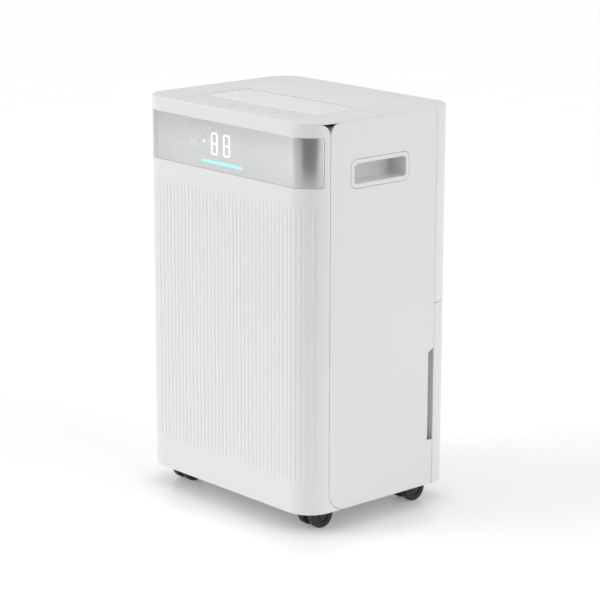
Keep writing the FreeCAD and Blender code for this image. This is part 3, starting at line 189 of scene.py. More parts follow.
def makeFinish(name, look):
    # one material: base colour with flow shades, rubbed edges, dust, and grain or brush lines in the bump
    base = tuple(look["colour"]) + (1.0,)
    material = bpy.data.materials.new(name)
    material.use_nodes = True
    tree = material.node_tree
    shader = tree.nodes["Principled BSDF"]
    place = tree.nodes.new("ShaderNodeTexCoord").outputs["Object"]

    def useGroup(group, values):
        node = tree.nodes.new("ShaderNodeGroup")
        node.node_tree = group
        tree.links.new(place, node.inputs["Vector"])
        for label, value in values.items():
            node.inputs[label].default_value = value
        return node

    def mixed(amount, first, second):
        node = addNode(tree, "ShaderNodeMix", {"data_type": "RGBA"}, in0=amount, in6=first, in7=second)
        return node.outputs[2]

    scales = {"Grain Scale": look.get("grainScale", 900.0), "Flow Scale": look.get("flowScale", 9.0)}
    grain = useGroup(mouldGrain, scales)
    rub = useGroup(edgeRub, {"Width": look.get("edgeWidth", 0.8 * mm)})
    dust = useGroup(settledDust, {})
    flowAmount = look.get("flow", 0.03)
    colour = mixed(grain.outputs["Flow"], shaded(base, 1 - flowAmount), shaded(base, 1 + flowAmount))
    speckAmount = mathNode(tree, "MULTIPLY", grain.outputs["Speck"], look.get("speck", 0.1))
    colour = mixed(speckAmount, colour, shaded(base, look.get("speckTone", 0.8)))
    rubAmount = mathNode(tree, "MULTIPLY", rub.outputs["Mask"], look.get("rub", 0.25))
    colour = mixed(rubAmount, colour, shaded(base, look.get("rubTone", 0.88)))
    dustAmount = mathNode(tree, "MULTIPLY", dust.outputs["Mask"], look.get("dust", 0.05))
    colour = mixed(dustAmount, colour, (0.62, 0.6, 0.57, 1.0))
    tree.links.new(colour, shader.inputs["Base Color"])
    rough = look.get("rough", 0.4)
    roughness = mapRange(tree, grain.outputs["Flow"], 0.3, 0.7, rough - 0.04, rough + 0.04)
    roughness = mathNode(tree, "ADD", roughness, mathNode(tree, "MULTIPLY", dustAmount, 0.6))
    height = grain.outputs["Height"]
    if "stretch" in look:
        lines = useGroup(brushLines, {"Stretch": look["stretch"]})
        height = lines.outputs["Height"]
        roughness = mathNode(tree, "ADD", roughness, mathNode(tree, "MULTIPLY", lines.outputs["Tone"], 0.08))
    tree.links.new(roughness, shader.inputs["Roughness"])
    bump = addNode(tree, "ShaderNodeBump", None, Height=height)
    bump.inputs["Strength"].default_value = look.get("bump", 0.12)
    bump.inputs["Distance"].default_value = look.get("bumpDepth", 0.05 * mm)
    tree.links.new(bump.outputs[0], shader.inputs["Normal"])
    shader.inputs["Metallic"].default_value = look.get("metal", 0.0)
    shader.inputs["IOR"].default_value = look.get("ior", 1.46)
    shader.inputs["Coat Weight"].default_value = look.get("coat", 0.0)
    shader.inputs["Coat Roughness"].default_value = look.get("coatRough", 0.15)
    if "glow" in look:
        shader.inputs["Emission Strength"].default_value = look["glow"]
        glowColour = tuple(look.get("glowColour", look["colour"])) + (1.0,)
        glow = mixed(grain.outputs["Flow"], shaded(glowColour, 0.93), glowColour)
        tree.links.new(glow, shader.inputs["Emission Color"])
    return material


looks = {
    "coverWhite": {
        "colour": (0.80, 0.80, 0.80), "rough": 0.42, "flow": 0.012,
        "speck": 0.03, "rub": 0.3, "dust": 0.03,
    },
    "grilleWhite": {
        "colour": (0.86, 0.86, 0.86), "rough": 0.4, "flow": 0.012,
        "speck": 0.03, "rub": 0.25, "dust": 0.05,
    },
    "bandSilver": {
        "colour": (0.50, 0.515, 0.51), "rough": 0.3, "metal": 0.75, "flow": 0.015, "speck": 0.12,
        "speckTone": 1.25,
        "grainScale": 1600.0, "coat": 0.5, "coatRough": 0.12, "rub": 0.2, "rubTone": 1.2, "dust": 0.02,
    },
    "ledWhite": {"colour": (0.95, 0.97, 0.97), "rough": 0.3, "glow": 1.0, "rub": 0.0, "dust": 0.0},
    "barAqua": {
        "colour": (0.30, 0.85, 0.78), "rough": 0.3, "glow": 0.75, "glowColour": (0.22, 0.80, 0.72),
        "rub": 0.0, "dust": 0.0,
    },
    "signFaint": {"colour": (0.60, 0.615, 0.61), "rough": 0.3, "rub": 0.0, "dust": 0.0},
    "signGrey": {"colour": (0.52, 0.52, 0.52), "rough": 0.45, "rub": 0.0, "dust": 0.02},
    "frameGrey": {
        "colour": (0.16, 0.165, 0.17), "rough": 0.55, "bump": 0.25,
        "flow": 0.05, "rubTone": 1.6, "dust": 0.15,
    },
    "casterBlack": {
        "colour": (0.018, 0.018, 0.02), "rough": 0.42, "bump": 0.2, "flow": 0.1, "rub": 0.5, "rubTone": 3.0,
        "dust": 0.05, "speck": 0.15, "speckTone": 2.0,
    },
    "boardGreen": {
        "colour": (0.05, 0.22, 0.1), "rough": 0.35, "coat": 0.3,
        "speck": 0.3, "speckTone": 1.6, "dust": 0.1,
    },
    "zincSteel": {
        "colour": (0.62, 0.63, 0.64), "rough": 0.32, "metal": 1.0, "stretch": (1.0, 1.0, 0.03), "bump": 0.2,
        "rubTone": 1.3, "dust": 0.05,
    },
    "finAluminium": {
        "colour": (0.75, 0.76, 0.77), "rough": 0.3, "metal": 1.0, "stretch": (0.03, 1.0, 1.0),
        "bump": 0.15, "dust": 0.08,
    },
    "copperTube": {
        "colour": (0.72, 0.38, 0.24), "rough": 0.28, "metal": 1.0, "stretch": (1.0, 1.0, 0.05), "flow": 0.12,
        "speck": 0.3, "speckTone": 0.5, "dust": 0.05,
    },
    "blackEnamel": {
        "colour": (0.02, 0.02, 0.022), "rough": 0.25, "coat": 0.4,
        "bump": 0.2, "rubTone": 4.0, "dust": 0.2,
    },
    "softRubber": {
        "colour": (0.05, 0.05, 0.052), "rough": 0.7, "bump": 0.35,
        "speck": 0.3, "speckTone": 1.8, "dust": 0.2,
    },
    "floatFoam": {
        "colour": (0.86, 0.86, 0.84), "rough": 0.85, "grainScale": 420.0,
        "bump": 0.8, "bumpDepth": 0.3 * mm,
    },
    "spoutGrey": {"colour": (0.26, 0.27, 0.28), "rough": 0.5, "bump": 0.2, "rubTone": 1.3},
    "filterNet": {
        "colour": (0.05, 0.05, 0.055), "rough": 0.6, "bump": 0.3,
        "dust": 0.3, "speck": 0.3, "speckTone": 2.5,
    },
}
finishes = {name: makeFinish(name, look) for name, look in looks.items()}
slotFinishes = {
    "cover_white": "coverWhite", "band_silver": "bandSilver", "frame_grey": "frameGrey",
    "caster_black": "casterBlack", "board_green": "boardGreen", "led_white": "ledWhite",
    "zinc_steel": "zincSteel", "fin_aluminium": "finAluminium", "copper_tube": "copperTube",
    "black_enamel": "blackEnamel", "soft_rubber": "softRubber", "float_foam": "floatFoam",
    "spout_grey": "spoutGrey", "filter_net": "filterNet",
}
slotOfNode = {part["node"]: part["material_slot"] for part in frame["record"]["subparts"]}
for nodeName, node in nodes.items():
    for index, material in enumerate(node.data.materials):
        node.data.materials[index] = finishes[slotFinishes[slotOfNode[nodeName]]]
print("finishes done")


def addPiece(name, mesh, body, finish, stands=(), smoothAngle=35):
    for face in mesh.polygons:
        face.use_smooth = True
    mesh.set_sharp_from_angle(angle=math.radians(smoothAngle))
    mesh.materials.clear()
    mesh.materials.append(finishes[finish])
    piece = bpy.data.objects.new(name, mesh)
    scene.collection.objects.link(piece)
    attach(piece, body)
    if stands:
        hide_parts(*stands)
    return piece


def meshFrom(name, shape, merge=1e-6):
    bmesh.ops.remove_doubles(shape, verts=shape.verts, dist=merge)
    bmesh.ops.recalc_face_normals(shape, faces=shape.faces)
    mesh = bpy.data.meshes.new(name)
    shape.to_mesh(mesh)
    shape.free()
    return mesh


def loft(shape, rings, closed=True):
    # quads between rings of equally many points, with a cap on each end
    loops = [[shape.verts.new(point) for point in ring] for ring in rings]
    count = len(loops[0])
    for low, high in zip(loops, loops[1:]):
        for i in range(count):
            j = (i + 1) % count
            shape.faces.new((low[i], low[j], high[j], high[i]))
    if closed:
        shape.faces.new(list(reversed(loops[0])))
        shape.faces.new(loops[-1])


def roundedLoop(uLow, uHigh, vLow, vHigh, radii, steps=8):
    # corners in turn: low u low v, high u low v, high u high v, low u high v
    if not isinstance(radii, (tuple, list)):
        radii = (radii,) * 4
    corners = [(uLow, vLow, 180), (uHigh, vLow, 270), (uHigh, vHigh, 0), (uLow, vHigh, 90)]
    points = []
    for (u, v, start), radius in zip(corners, radii):
        centreU = u + radius * (1 if u == uLow else -1)
        centreV = v + radius * (1 if v == vLow else -1)
        for step in range(steps + 1):
            angle = math.radians(start + 90 * step / steps)
            points.append((centreU + radius * math.cos(angle), centreV + radius * math.sin(angle)))
    return points


def softCopy(name, nodeName, body, finish, width=0.5 * mm, angle=40, stands=None):
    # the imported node's own shape with its sharp edges rounded
    shape = bmesh.new()
    shape.from_mesh(nodes[nodeName].data)
    bmesh.ops.remove_doubles(shape, verts=shape.verts, dist=0.01 * mm)
    bmesh.ops.dissolve_limit(shape, angle_limit=math.radians(1), verts=shape.verts, edges=shape.edges)
    if width:
        sharp = [e for e in shape.edges if e.is_manifold and e.calc_face_angle(0) > math.radians(angle)]
        bmesh.ops.bevel(
            shape, geom=sharp, offset=width, segments=2, profile=0.5, affect="EDGES", clamp_overlap=True
        )
    mesh = bpy.data.meshes.new(name)
    shape.to_mesh(mesh)
    shape.free()
    return addPiece(name, mesh, body, finish, stands or (nodeName,))


def startTree(name, inputs):
    tree = bpy.data.node_groups.new(name, "GeometryNodeTree")
    tree.interface.new_socket(name="Geometry", in_out="INPUT", socket_type="NodeSocketGeometry")
    for label, kind, value in inputs:
        socket = tree.interface.new_socket(name=label, in_out="INPUT", socket_type="NodeSocket" + kind)
        if value is not None:
            socket.default_value = value
    tree.interface.new_socket(name="Finish", in_out="INPUT", socket_type="NodeSocketMaterial")
    tree.interface.new_socket(name="Geometry", in_out="OUTPUT", socket_type="NodeSocketGeometry")
    return tree, tree.nodes.new("NodeGroupInput"), tree.nodes.new("NodeGroupOutput")


def endTree(tree, given, result, geometry):
    real = addNode(tree, "GeometryNodeRealizeInstances", None, Geometry=geometry)
    painted = addNode(tree, "GeometryNodeSetMaterial", None, Geometry=real.outputs[0])
    tree.links.new(given.outputs["Finish"], painted.inputs["Material"])
    tree.links.new(painted.outputs[0], result.inputs["Geometry"])
    return tree


def grown(seed, tree, finish, values):
    # the plain mesh that a tree makes from a seed mesh
    holder = bpy.data.objects.new("seed", seed)
    scene.collection.objects.link(holder)
    modifier = holder.modifiers.new("grow", "NODES")
    modifier.node_group = tree
    values = {**values, "Finish": finishes[finish]}
    for item in tree.interface.items_tree:
        if item.item_type == "SOCKET" and item.in_out == "INPUT" and item.name in values:
            modifier[item.identifier] = values[item.name]
    graph = bpy.context.evaluated_depsgraph_get()
    mesh = bpy.data.meshes.new_from_object(holder.evaluated_get(graph), depsgraph=graph)
    bpy.data.objects.remove(holder)
    return mesh


def makeRowTree():
    # copies of the seed along one or two straight steps
    tree, given, result = startTree(
        "rowOfPieces",
        [
            ("Count", "Int", 8), ("Step", "Vector", (0.0, 0.01, 0.0)),
            ("Rows", "Int", 1), ("Row Step", "Vector", (0.0, 0.0, 0.0)),
        ],
    )
    ends = {"mode": "OFFSET"}
    count, rows = given.outputs["Count"], given.outputs["Rows"]
    line = addNode(tree, "GeometryNodeMeshLine", ends, Count=count, Offset=given.outputs["Step"])
    across = addNode(tree, "GeometryNodeMeshLine", ends, Count=rows, Offset=given.outputs["Row Step"])
    lines = addNode(
        tree, "GeometryNodeInstanceOnPoints", None, Points=across.outputs[0], Instance=line.outputs[0]
    )
    points = addNode(tree, "GeometryNodeRealizeInstances", None, Geometry=lines.outputs[0])
    copies = addNode(
        tree, "GeometryNodeInstanceOnPoints", None, Points=points.outputs[0], Instance=given.outputs["Geometry"]
    )
    return endTree(tree, given, result, copies.outputs[0])


def makeFluteTree():
    # convex upright flutes: points sink between crests, by their arc length and height attributes
    tree, given, result = startTree(
        "uprightFlutes",
        [(label, "Float", None) for label in ("Pitch", "Depth", "Reach", "Bottom", "Top", "Fade")],
    )

    def attribute(name, kind="FLOAT"):
        return addNode(tree, "GeometryNodeInputNamedAttribute", {"data_type": kind}, Name=name).outputs[0]

    across = attribute("arcLength")
    rise = attribute("rise")
    skin = attribute("skin")
    turns = mathNode(tree, "ADD", mathNode(tree, "DIVIDE", across, given.outputs["Pitch"]), 100.0)
    phase = mathNode(tree, "FRACT", turns)
    centred = mathNode(tree, "SUBTRACT", mathNode(tree, "MULTIPLY", phase, 2.0), 1.0)
    bowed = mathNode(tree, "MULTIPLY", centred, centred)
    belowTop = mathNode(tree, "SUBTRACT", given.outputs["Top"], rise)
    aboveBottom = mathNode(tree, "SUBTRACT", rise, given.outputs["Bottom"])
    upper = mapRange(tree, mathNode(tree, "DIVIDE", belowTop, given.outputs["Fade"]), 0.0, 1.0)
    lower = mapRange(tree, mathNode(tree, "DIVIDE", aboveBottom, given.outputs["Fade"]), 0.0, 1.0)
    beside = mathNode(tree, "LESS_THAN", mathNode(tree, "ABSOLUTE", across), given.outputs["Reach"])
    fade = mathNode(tree, "MULTIPLY", upper, lower)
    amount = mathNode(tree, "MULTIPLY", fade, mathNode(tree, "MULTIPLY", beside, skin))
    sink = mathNode(tree, "MULTIPLY", mathNode(tree, "MULTIPLY", bowed, amount), given.outputs["Depth"])
    inward = attribute("inward", "FLOAT_VECTOR")
    move = addNode(tree, "ShaderNodeVectorMath", {"operation": "SCALE"}, in0=inward)
    tree.links.new(sink, move.inputs["Scale"])
    moved = addNode(
        tree, "GeometryNodeSetPosition", None, Geometry=given.outputs["Geometry"], Offset=move.outputs[0]
    )
    return endTree(tree, given, result, moved.outputs[0])


rowTree = makeRowTree()
fluteTree = makeFluteTree()


frontSizes = {
    "wall": 3 * mm, "edgeRound": 1.0 * mm, "toe": 30 * mm, "toeLand": 8 * mm, "halfGap": 0.25 * mm,
    "notch": 17 * mm, "pitch": 8.1 * mm, "fluteDepth": 1.0 * mm, "flutes": 44,
    "fluteSteps": (0.0, 0.05, 0.2, 0.38, 0.5, 0.62, 0.8, 0.95),
    "fluteBottom": 67 * mm, "fluteTop": 471 * mm, "fluteFade": 20 * mm,
    "fadeSteps": (0.0, 0.12, 0.25, 0.4, 0.55, 0.7, 0.85, 1.0),
    "toeRows": (3 * mm, 5 * mm, 8 * mm, 12 * mm, 17 * mm, 23 * mm, 30 * mm),
    "middleRows": (150 * mm, 230 * mm, 310 * mm, 390 * mm), "upperRows": (482 * mm, 510 * mm, 540 * mm),
    "notchSteps": (1.0, 0.85, 0.7, 0.55, 0.4, 0.28, 0.17, 0.08, 0.02, 0.0),
    "recessDepth": 2 * mm, "recessReach": 10 * mm, "recessCorner": 3 * mm, "lensGap": 0.2 * mm,
}


def wrapPoint(along, depth=0.0):
    # the point on the front's wrap at an arc length from the middle, sunk below the skin
    side = 1 if along >= 0 else -1
    length = abs(along)
    if length <= seamX:
        return side * length, depth - halfDepth
    turn = min((length - seamX) / cornerRadius, math.pi / 2)
    beyond = max(0.0, length - seamX - quarterArc)
    x = seamX + (cornerRadius - depth) * math.sin(turn)
    y = -seamY - (cornerRadius - depth) * math.cos(turn) + beyond
    return side * x, y


def edgeY(z):
    # the side edge of the front cover: a toe below, a straight seam, a rounded corner above
    s = frontSizes
    seam = -seamY - s["halfGap"]
    toeZ = bodyBottom + s["toe"]
    if z < toeZ:
        reach = math.sqrt(max(0.0, (s["toe"] + s["halfGap"]) ** 2 - (toeZ - z) ** 2))
        return min(s["toe"] - seamY - reach, s["toe"] - seamY - s["toeLand"])
    notchZ = coverTop - s["notch"]
    if z > notchZ:
        return seam - s["notch"] + math.sqrt(max(0.0, s["notch"] ** 2 - (z - notchZ) ** 2))
    return seam


def edgeLength(z):
    # the arc length from the middle to the side edge
    y = edgeY(z)
    if y >= -seamY:
        return seamX + quarterArc + y + seamY
    return seamX + cornerRadius * math.acos(min(1.0, (-y - seamY) / cornerRadius))


def roundDrop(distance, radius):
    # how far a rounded edge lies below the skin, at a distance from the edge
    if distance >= radius:
        return 0.0
    return radius - math.sqrt(max(0.0, radius ** 2 - (radius - distance) ** 2))


def makeFrontCover():
    s = frontSizes
    r = s["edgeRound"]
    half = s["flutes"] * s["pitch"] / 2
    starts = [(i - s["flutes"] / 2) * s["pitch"] for i in range(s["flutes"])]
    columns = [start + s["pitch"] * step for start in starts for step in s["fluteSteps"]]
    columns.append(half)
    inner = [0.5 * r, 0.2 * r, 0.05 * r, 0.0]
    rows = [bodyBottom + r * part for part in (0, 0.05, 0.2, 0.5, 1)]
    rows += [bodyBottom + height for height in s["toeRows"]]
    rows += [s["fluteBottom"] + s["fluteFade"] * part for part in s["fadeSteps"]]
    rows += s["middleRows"]
    rows += [s["fluteTop"] - s["fluteFade"] * part for part in reversed(s["fadeSteps"])]
    rows += s["upperRows"]
    rows += [coverTop - s["notch"] * part for part in s["notchSteps"]]
    shape = bmesh.new()
    arcLayer = shape.verts.layers.float.new("arcLength")
    riseLayer = shape.verts.layers.float.new("rise")
    skinLayer = shape.verts.layers.float.new("skin")
    inwardLayer = shape.verts.layers.float_vector.new("inward")
    grids = []
    for deep in (False, True):
        grid = []
        for z in rows:
            limit = edgeLength(z)
            tail = [half + (limit - r - half) * part for part in (0.12, 0.3, 0.5, 0.7, 0.85, 0.95, 1.0)]
            tail += [limit - distance for distance in inner]
            full = [-along for along in reversed(tail)] + columns + tail
            line = []
            for along in full:
                depth = s["wall"]
                if not deep:
                    depth = max(roundDrop(limit - abs(along), r), roundDrop(z - bodyBottom, r))
                x, y = wrapPoint(along, depth)
                vertex = shape.verts.new((x, y, z))
                xIn, yIn = wrapPoint(along, depth + mm)
                vertex[arcLayer] = along
                vertex[riseLayer] = z
                vertex[skinLayer] = 0.0 if deep else 1.0
                vertex[inwardLayer] = Vector(((xIn - x) / mm, (yIn - y) / mm, 0))
                line.append(vertex)
            grid.append(line)
        grids.append(grid)
    skin, back = grids
    for low, high in zip(skin, skin[1:]):
        for i in range(len(low) - 1):
            shape.faces.new((low[i], low[i + 1], high[i + 1], high[i]))
    for low, high in zip(back, back[1:]):
        for i in range(len(low) - 1):
            shape.faces.new((low[i], high[i], high[i + 1], low[i + 1]))
    border = []
    for grid in grids:
        upRight = [line[-1] for line in grid[1:]]
        downLeft = [line[0] for line in reversed(grid[1:-1])]
        border.append(grid[0] + upRight + grid[-1][-2::-1] + downLeft)
    count = len(border[0])
    for i in range(count):
        j = (i + 1) % count
        shape.faces.new((border[0][i], border[1][i], border[1][j], border[0][j]))
    bmesh.ops.recalc_face_normals(shape, faces=shape.faces)
    seed = bpy.data.meshes.new("frontSeed")
    shape.to_mesh(seed)
    shape.free()
    values = {
        "Pitch": s["pitch"], "Depth": s["fluteDepth"], "Reach": half + 0.1 * mm,
        "Bottom": s["fluteBottom"], "Top": s["fluteTop"], "Fade": s["fluteFade"],
    }
    mesh = grown(seed, fluteTree, "coverWhite", values)
    recessLow, recessHigh = lensLow.z - s["lensGap"], lensHigh.z + s["lensGap"]
    cutter = wrapPlate(recessEdge(), recessLow, recessHigh, s["recessCorner"], -mm, s["recessDepth"], 0)
    mesh = cutMesh(mesh, cutter)
    return addPiece("frontCover", mesh, "cabinet", "coverWhite", ("front_cover",), 30)


def recessEdge():
    # the recess ends on the corner, at this arc length from the middle
    s = frontSizes
    return seamX + cornerRadius * math.acos(s["recessReach"] / cornerRadius)


def wrapPlate(reach, zLow, zHigh, corner, outer, deep, edge):
    # a plate with rounded corners bent round the front, between two depths below the skin
    ends = [corner * part for part in (0, 0.02, 0.08, 0.18, 0.34, 0.56, 0.78, 1.0)]
    if edge:
        ends = sorted(set(ends + [edge * part for part in (0.05, 0.2, 0.5, 1.0)]))
    middle = seamX + 0.4 * mm
    arcs = [middle + (reach - ends[-1] - middle) * part / 14 for part in range(15)]
    right = arcs[:-1] + [reach - distance for distance in reversed(ends)]
    columns = [-along for along in reversed(right)] + [-seamX * 0.5, 0.0, seamX * 0.5] + right
    bands = [0.0, 0.05, 0.2, 0.5, 1.0] if edge else [0.0]
    shape = bmesh.new()
    loops = []
    for along in columns:
        distance = reach - abs(along)
        inset = roundDrop(distance, corner)
        low, high = zLow + inset, zHigh - inset
        ring = []
        levels = [low + edge * part for part in bands] + [high - edge * part for part in reversed(bands)]
        for z in levels:
            drop = max(roundDrop(distance, edge), roundDrop(min(z - low, high - z), edge)) if edge else 0.0
            x, y = wrapPoint(along, outer + drop)
            ring.append((x, y, z))
        for z in (high, low):
            x, y = wrapPoint(along, deep)
            ring.append((x, y, z))
        loops.append(ring)
    loft(shape, loops)
    return meshFrom("plate", shape)


def cutMesh(mesh, cutter):
    # the first mesh less the second
    base = bpy.data.objects.new("base", mesh)
    tool = bpy.data.objects.new("tool", cutter)
    scene.collection.objects.link(base)
    scene.collection.objects.link(tool)
    modifier = base.modifiers.new("cut", "BOOLEAN")
    modifier.object = tool
    modifier.solver = "EXACT"
    graph = bpy.context.evaluated_depsgraph_get()
    result = bpy.data.meshes.new_from_object(base.evaluated_get(graph), depsgraph=graph)
    bpy.data.objects.remove(base)
    bpy.data.objects.remove(tool)
    return result


makeFrontCover()
print("front cover done")


displaySizes = {
    "lensDepth": 0.12 * mm, "lensBack": 1.7 * mm, "lensEdge": 0.5 * mm, "lensCorner": 2.8 * mm,
    "signFront": 0.04 * mm, "signBack": 0.5 * mm,
    "digitLow": 513 * mm, "digitHigh": 544 * mm, "digits": ((-23 * mm, -9 * mm), (3.2 * mm, 17.2 * mm)),
    "stroke": 1.9 * mm, "strokeGap": 0.5 * mm, "dot": (-39 * mm, 529.4 * mm, 1.5 * mm),
    "barHalf": 43.5 * mm, "barLow": 500.6 * mm, "barHigh": 503.7 * mm, "barCorner": 1.5 * mm, "thin": 0.9 * mm,
    "hexagon": (-50 * mm, 542 * mm, 2.2 * mm), "lines": (-39 * mm, 540.2 * mm, 2.4 * mm), "lineStep": 1.8 * mm,
    "drop": (-50.5 * mm, 528.6 * mm, 1.9 * mm), "dropTip": 3.6 * mm,
    "ring": (-38.5 * mm, 516.7 * mm, 1.9 * mm), "ringDot": 0.6 * mm,
    "triangle": (35 * mm, 541.4 * mm, 2 * mm), "triangleTip": 4.4 * mm,
    "rising": (44.8 * mm, 540.2 * mm, 2 * mm), "risingStep": 1.8 * mm, "risingGrowth": 1.1 * mm,
}


def signShape(shape, outline):
    # a flat sign on the front from (x, z) corners
    s = displaySizes
    rings = [[(x, depth - halfDepth, z) for x, z in outline] for depth in (s["signFront"], s["signBack"])]
    loft(shape, rings)


def strokeOutline(x0, z0, x1, z1, width):
    # a bar with pointed ends between two points
    along = Vector((x1 - x0, z1 - z0)).normalized()
    aside = Vector((-along.y, along.x)) * width / 2
    tip = along * width / 2
    start, end = Vector((x0, z0)), Vector((x1, z1))
    upper = (start + tip + aside, end - tip + aside)
    lower = (end - tip - aside, start + tip - aside)
    return [tuple(point) for point in (start, *upper, end, *lower)]


def circleOutline(x, z, radius, steps=20):
    turns = [2 * math.pi * step / steps for step in range(steps)]
    return [(x + radius * math.cos(turn), z + radius * math.sin(turn)) for turn in turns]


def makeDisplay():
    s = displaySizes
    reach = recessEdge() - frontSizes["lensGap"]
    corner, outer, back = s["lensCorner"], s["lensDepth"], s["lensBack"]
    lens = wrapPlate(reach, lensLow.z, lensHigh.z, corner, outer, back, s["lensEdge"])
    addPiece("displayBand", lens, "cabinet", "bandSilver", ("display_lens",), 40)
    shape = bmesh.new()
    low, high, gap = s["digitLow"], s["digitHigh"], s["strokeGap"]
    middle = (low + high) / 2
    inset = s["stroke"] / 2
    for left, right in s["digits"]:
        x0, x1 = left + inset, right - inset
        for z in (low + inset, middle, high - inset):
            signShape(shape, strokeOutline(x0 + gap, z, x1 - gap, z, s["stroke"]))
        for x in (x0, x1):
            signShape(shape, strokeOutline(x, low + inset + gap, x, middle - gap, s["stroke"]))
            signShape(shape, strokeOutline(x, middle + gap, x, high - inset - gap, s["stroke"]))
    signShape(shape, circleOutline(*s["dot"]))
    addPiece("displayDigits", meshFrom("digits", shape), "cabinet", "ledWhite")
    shape = bmesh.new()
    signShape(shape, roundedLoop(-s["barHalf"], s["barHalf"], s["barLow"], s["barHigh"], s["barCorner"]))
    addPiece("displayBar", meshFrom("bar", shape), "cabinet", "barAqua")


def makeSigns():
    # plain signs by the digits: hexagon, lines, drop, ring of dots, triangle, rising strokes
    s = displaySizes
    shape = bmesh.new()
    signShape(shape, circleOutline(*s["hexagon"], 6))
    x, low, reach = s["lines"]
    for step in range(3):
        z = low + s["lineStep"] * step
        signShape(shape, strokeOutline(x - reach, z, x + reach, z, s["thin"]))
    x, z, radius = s["drop"]
    turns = [math.radians(150 + 24 * i) for i in range(11)]
    belly = [(x + radius * math.cos(turn), z + radius * math.sin(turn)) for turn in turns]
    signShape(shape, [(x, z + s["dropTip"])] + belly)
    x, z, radius = s["ring"]
    for step in range(5):
        turn = 2 * math.pi * step / 5
        centre = (x + radius * math.cos(turn), z + radius * math.sin(turn))
        signShape(shape, circleOutline(*centre, s["ringDot"], 8))
    x, z, reach = s["triangle"]
    signShape(shape, [(x - reach, z), (x + reach, z), (x, z + s["triangleTip"])])
    first, z, height = s["rising"]
    for step in range(3):
        x = first + s["risingStep"] * step
        signShape(shape, strokeOutline(x, z, x, z + height + s["risingGrowth"] * step, s["thin"]))
    addPiece("displaySigns", meshFrom("signs", shape), "cabinet", "signFaint")


makeDisplay()
makeSigns()
print("display done")


topSizes = {
    "round": 2.4 * mm, "sink": 0.05 * mm, "inlay": 0.3 * mm, "openingRound": 0.6 * mm, "steps": 12,
    "signPlaces": (-104 * mm, -62 * mm, -16 * mm, 28 * mm, 75 * mm, 122 * mm), "signY": -107 * mm,
    "signRadius": 3.6 * mm, "signStroke": 0.8 * mm, "signStretch": 1.3, "dashes": 10, "dashShare": 0.8,
}
grilleSizes = {
    "rim": 3 * mm, "drop": 9 * mm, "below": 0.6 * mm, "slats": 8, "slatThick": 1.6 * mm, "lean": 5 * mm,
    "lip": 3 * mm, "edge": 0.5 * mm, "gap": 0.3 * mm, "coverWall": 3.1 * mm, "slatTip": 0.4 * mm,
    "slatSink": 0.6 * mm, "slatFoot": 0.4 * mm, "slatEnd": 1 * mm,
}
grilleLow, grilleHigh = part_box("outlet_grille")
openHalf = grilleHigh.x - grilleSizes["lip"]
openFront = grilleLow.y + grilleSizes["lip"]
openBack = grilleHigh.y - grilleSizes["lip"]


def topLoop(inset, z):
    points = roundedLoop(-halfWidth + inset, halfWidth - inset, -halfDepth + inset, halfDepth - inset,
                         cornerRadius - inset, topSizes["steps"])
    return [(x, y, z) for x, y in points]


def openLoop(grow, z, radii=(7 * mm, 7 * mm, 7 * mm, 7 * mm)):
    points = roundedLoop(-openHalf - grow, openHalf + grow, openFront - grow, openBack + grow,
                         tuple(max(radius + grow, 0.2 * mm) for radius in radii), topSizes["steps"])
    return [(x, y, z) for x, y in points]


def makeTopCover():
    s = topSizes
    top = bodyTop - s["sink"]
    r, o = s["round"], s["openingRound"]
    rings = [topLoop(0, coverTop)]
    for step in range(7):
        turn = math.radians(15 * step)
        rings.append(topLoop(r * (1 - math.cos(turn)), top - r + r * math.sin(turn)))
    for step in range(4):
        turn = math.radians(90 - 30 * step)
        rings.append(openLoop(o * (1 - math.cos(turn)), top - o + o * math.sin(turn)))
    rings.append(openLoop(0, coverTop))
    shape = bmesh.new()
    loft(shape, rings, False)
    bmesh.ops.remove_doubles(shape, verts=shape.verts, dist=1e-6)
    edges = [edge for edge in shape.edges if edge.is_boundary]
    bmesh.ops.bridge_loops(shape, edges=edges)
    addPiece("topCover", meshFrom("top", shape), "cabinet", "coverWhite", ("top_cover",), 30)


def makeTouchSigns():
    # touch signs: broken rings let into the top, all alike
    s = topSizes
    radii = (s["signRadius"], s["signRadius"] - s["signStroke"])
    dash = 2 * math.pi / s["dashes"]
    shape = bmesh.new()
    for x in s["signPlaces"]:
        for step in range(s["dashes"]):
            start = dash * (step + (1 - s["dashShare"]) / 2)
            end = start + dash * s["dashShare"]
            corners = [(radii[0], start), (radii[0], end), (radii[1], end), (radii[1], start)]
            outline = [
                (x + radius * math.cos(turn) * s["signStretch"], s["signY"] + radius * math.sin(turn))
                for radius, turn in corners
            ]
            loft(shape, [[(u, v, z) for u, v in outline] for z in (bodyTop - s["inlay"], bodyTop - 0.01 * mm)])
    addPiece("touchSigns", meshFrom("signs", shape), "cabinet", "signGrey")


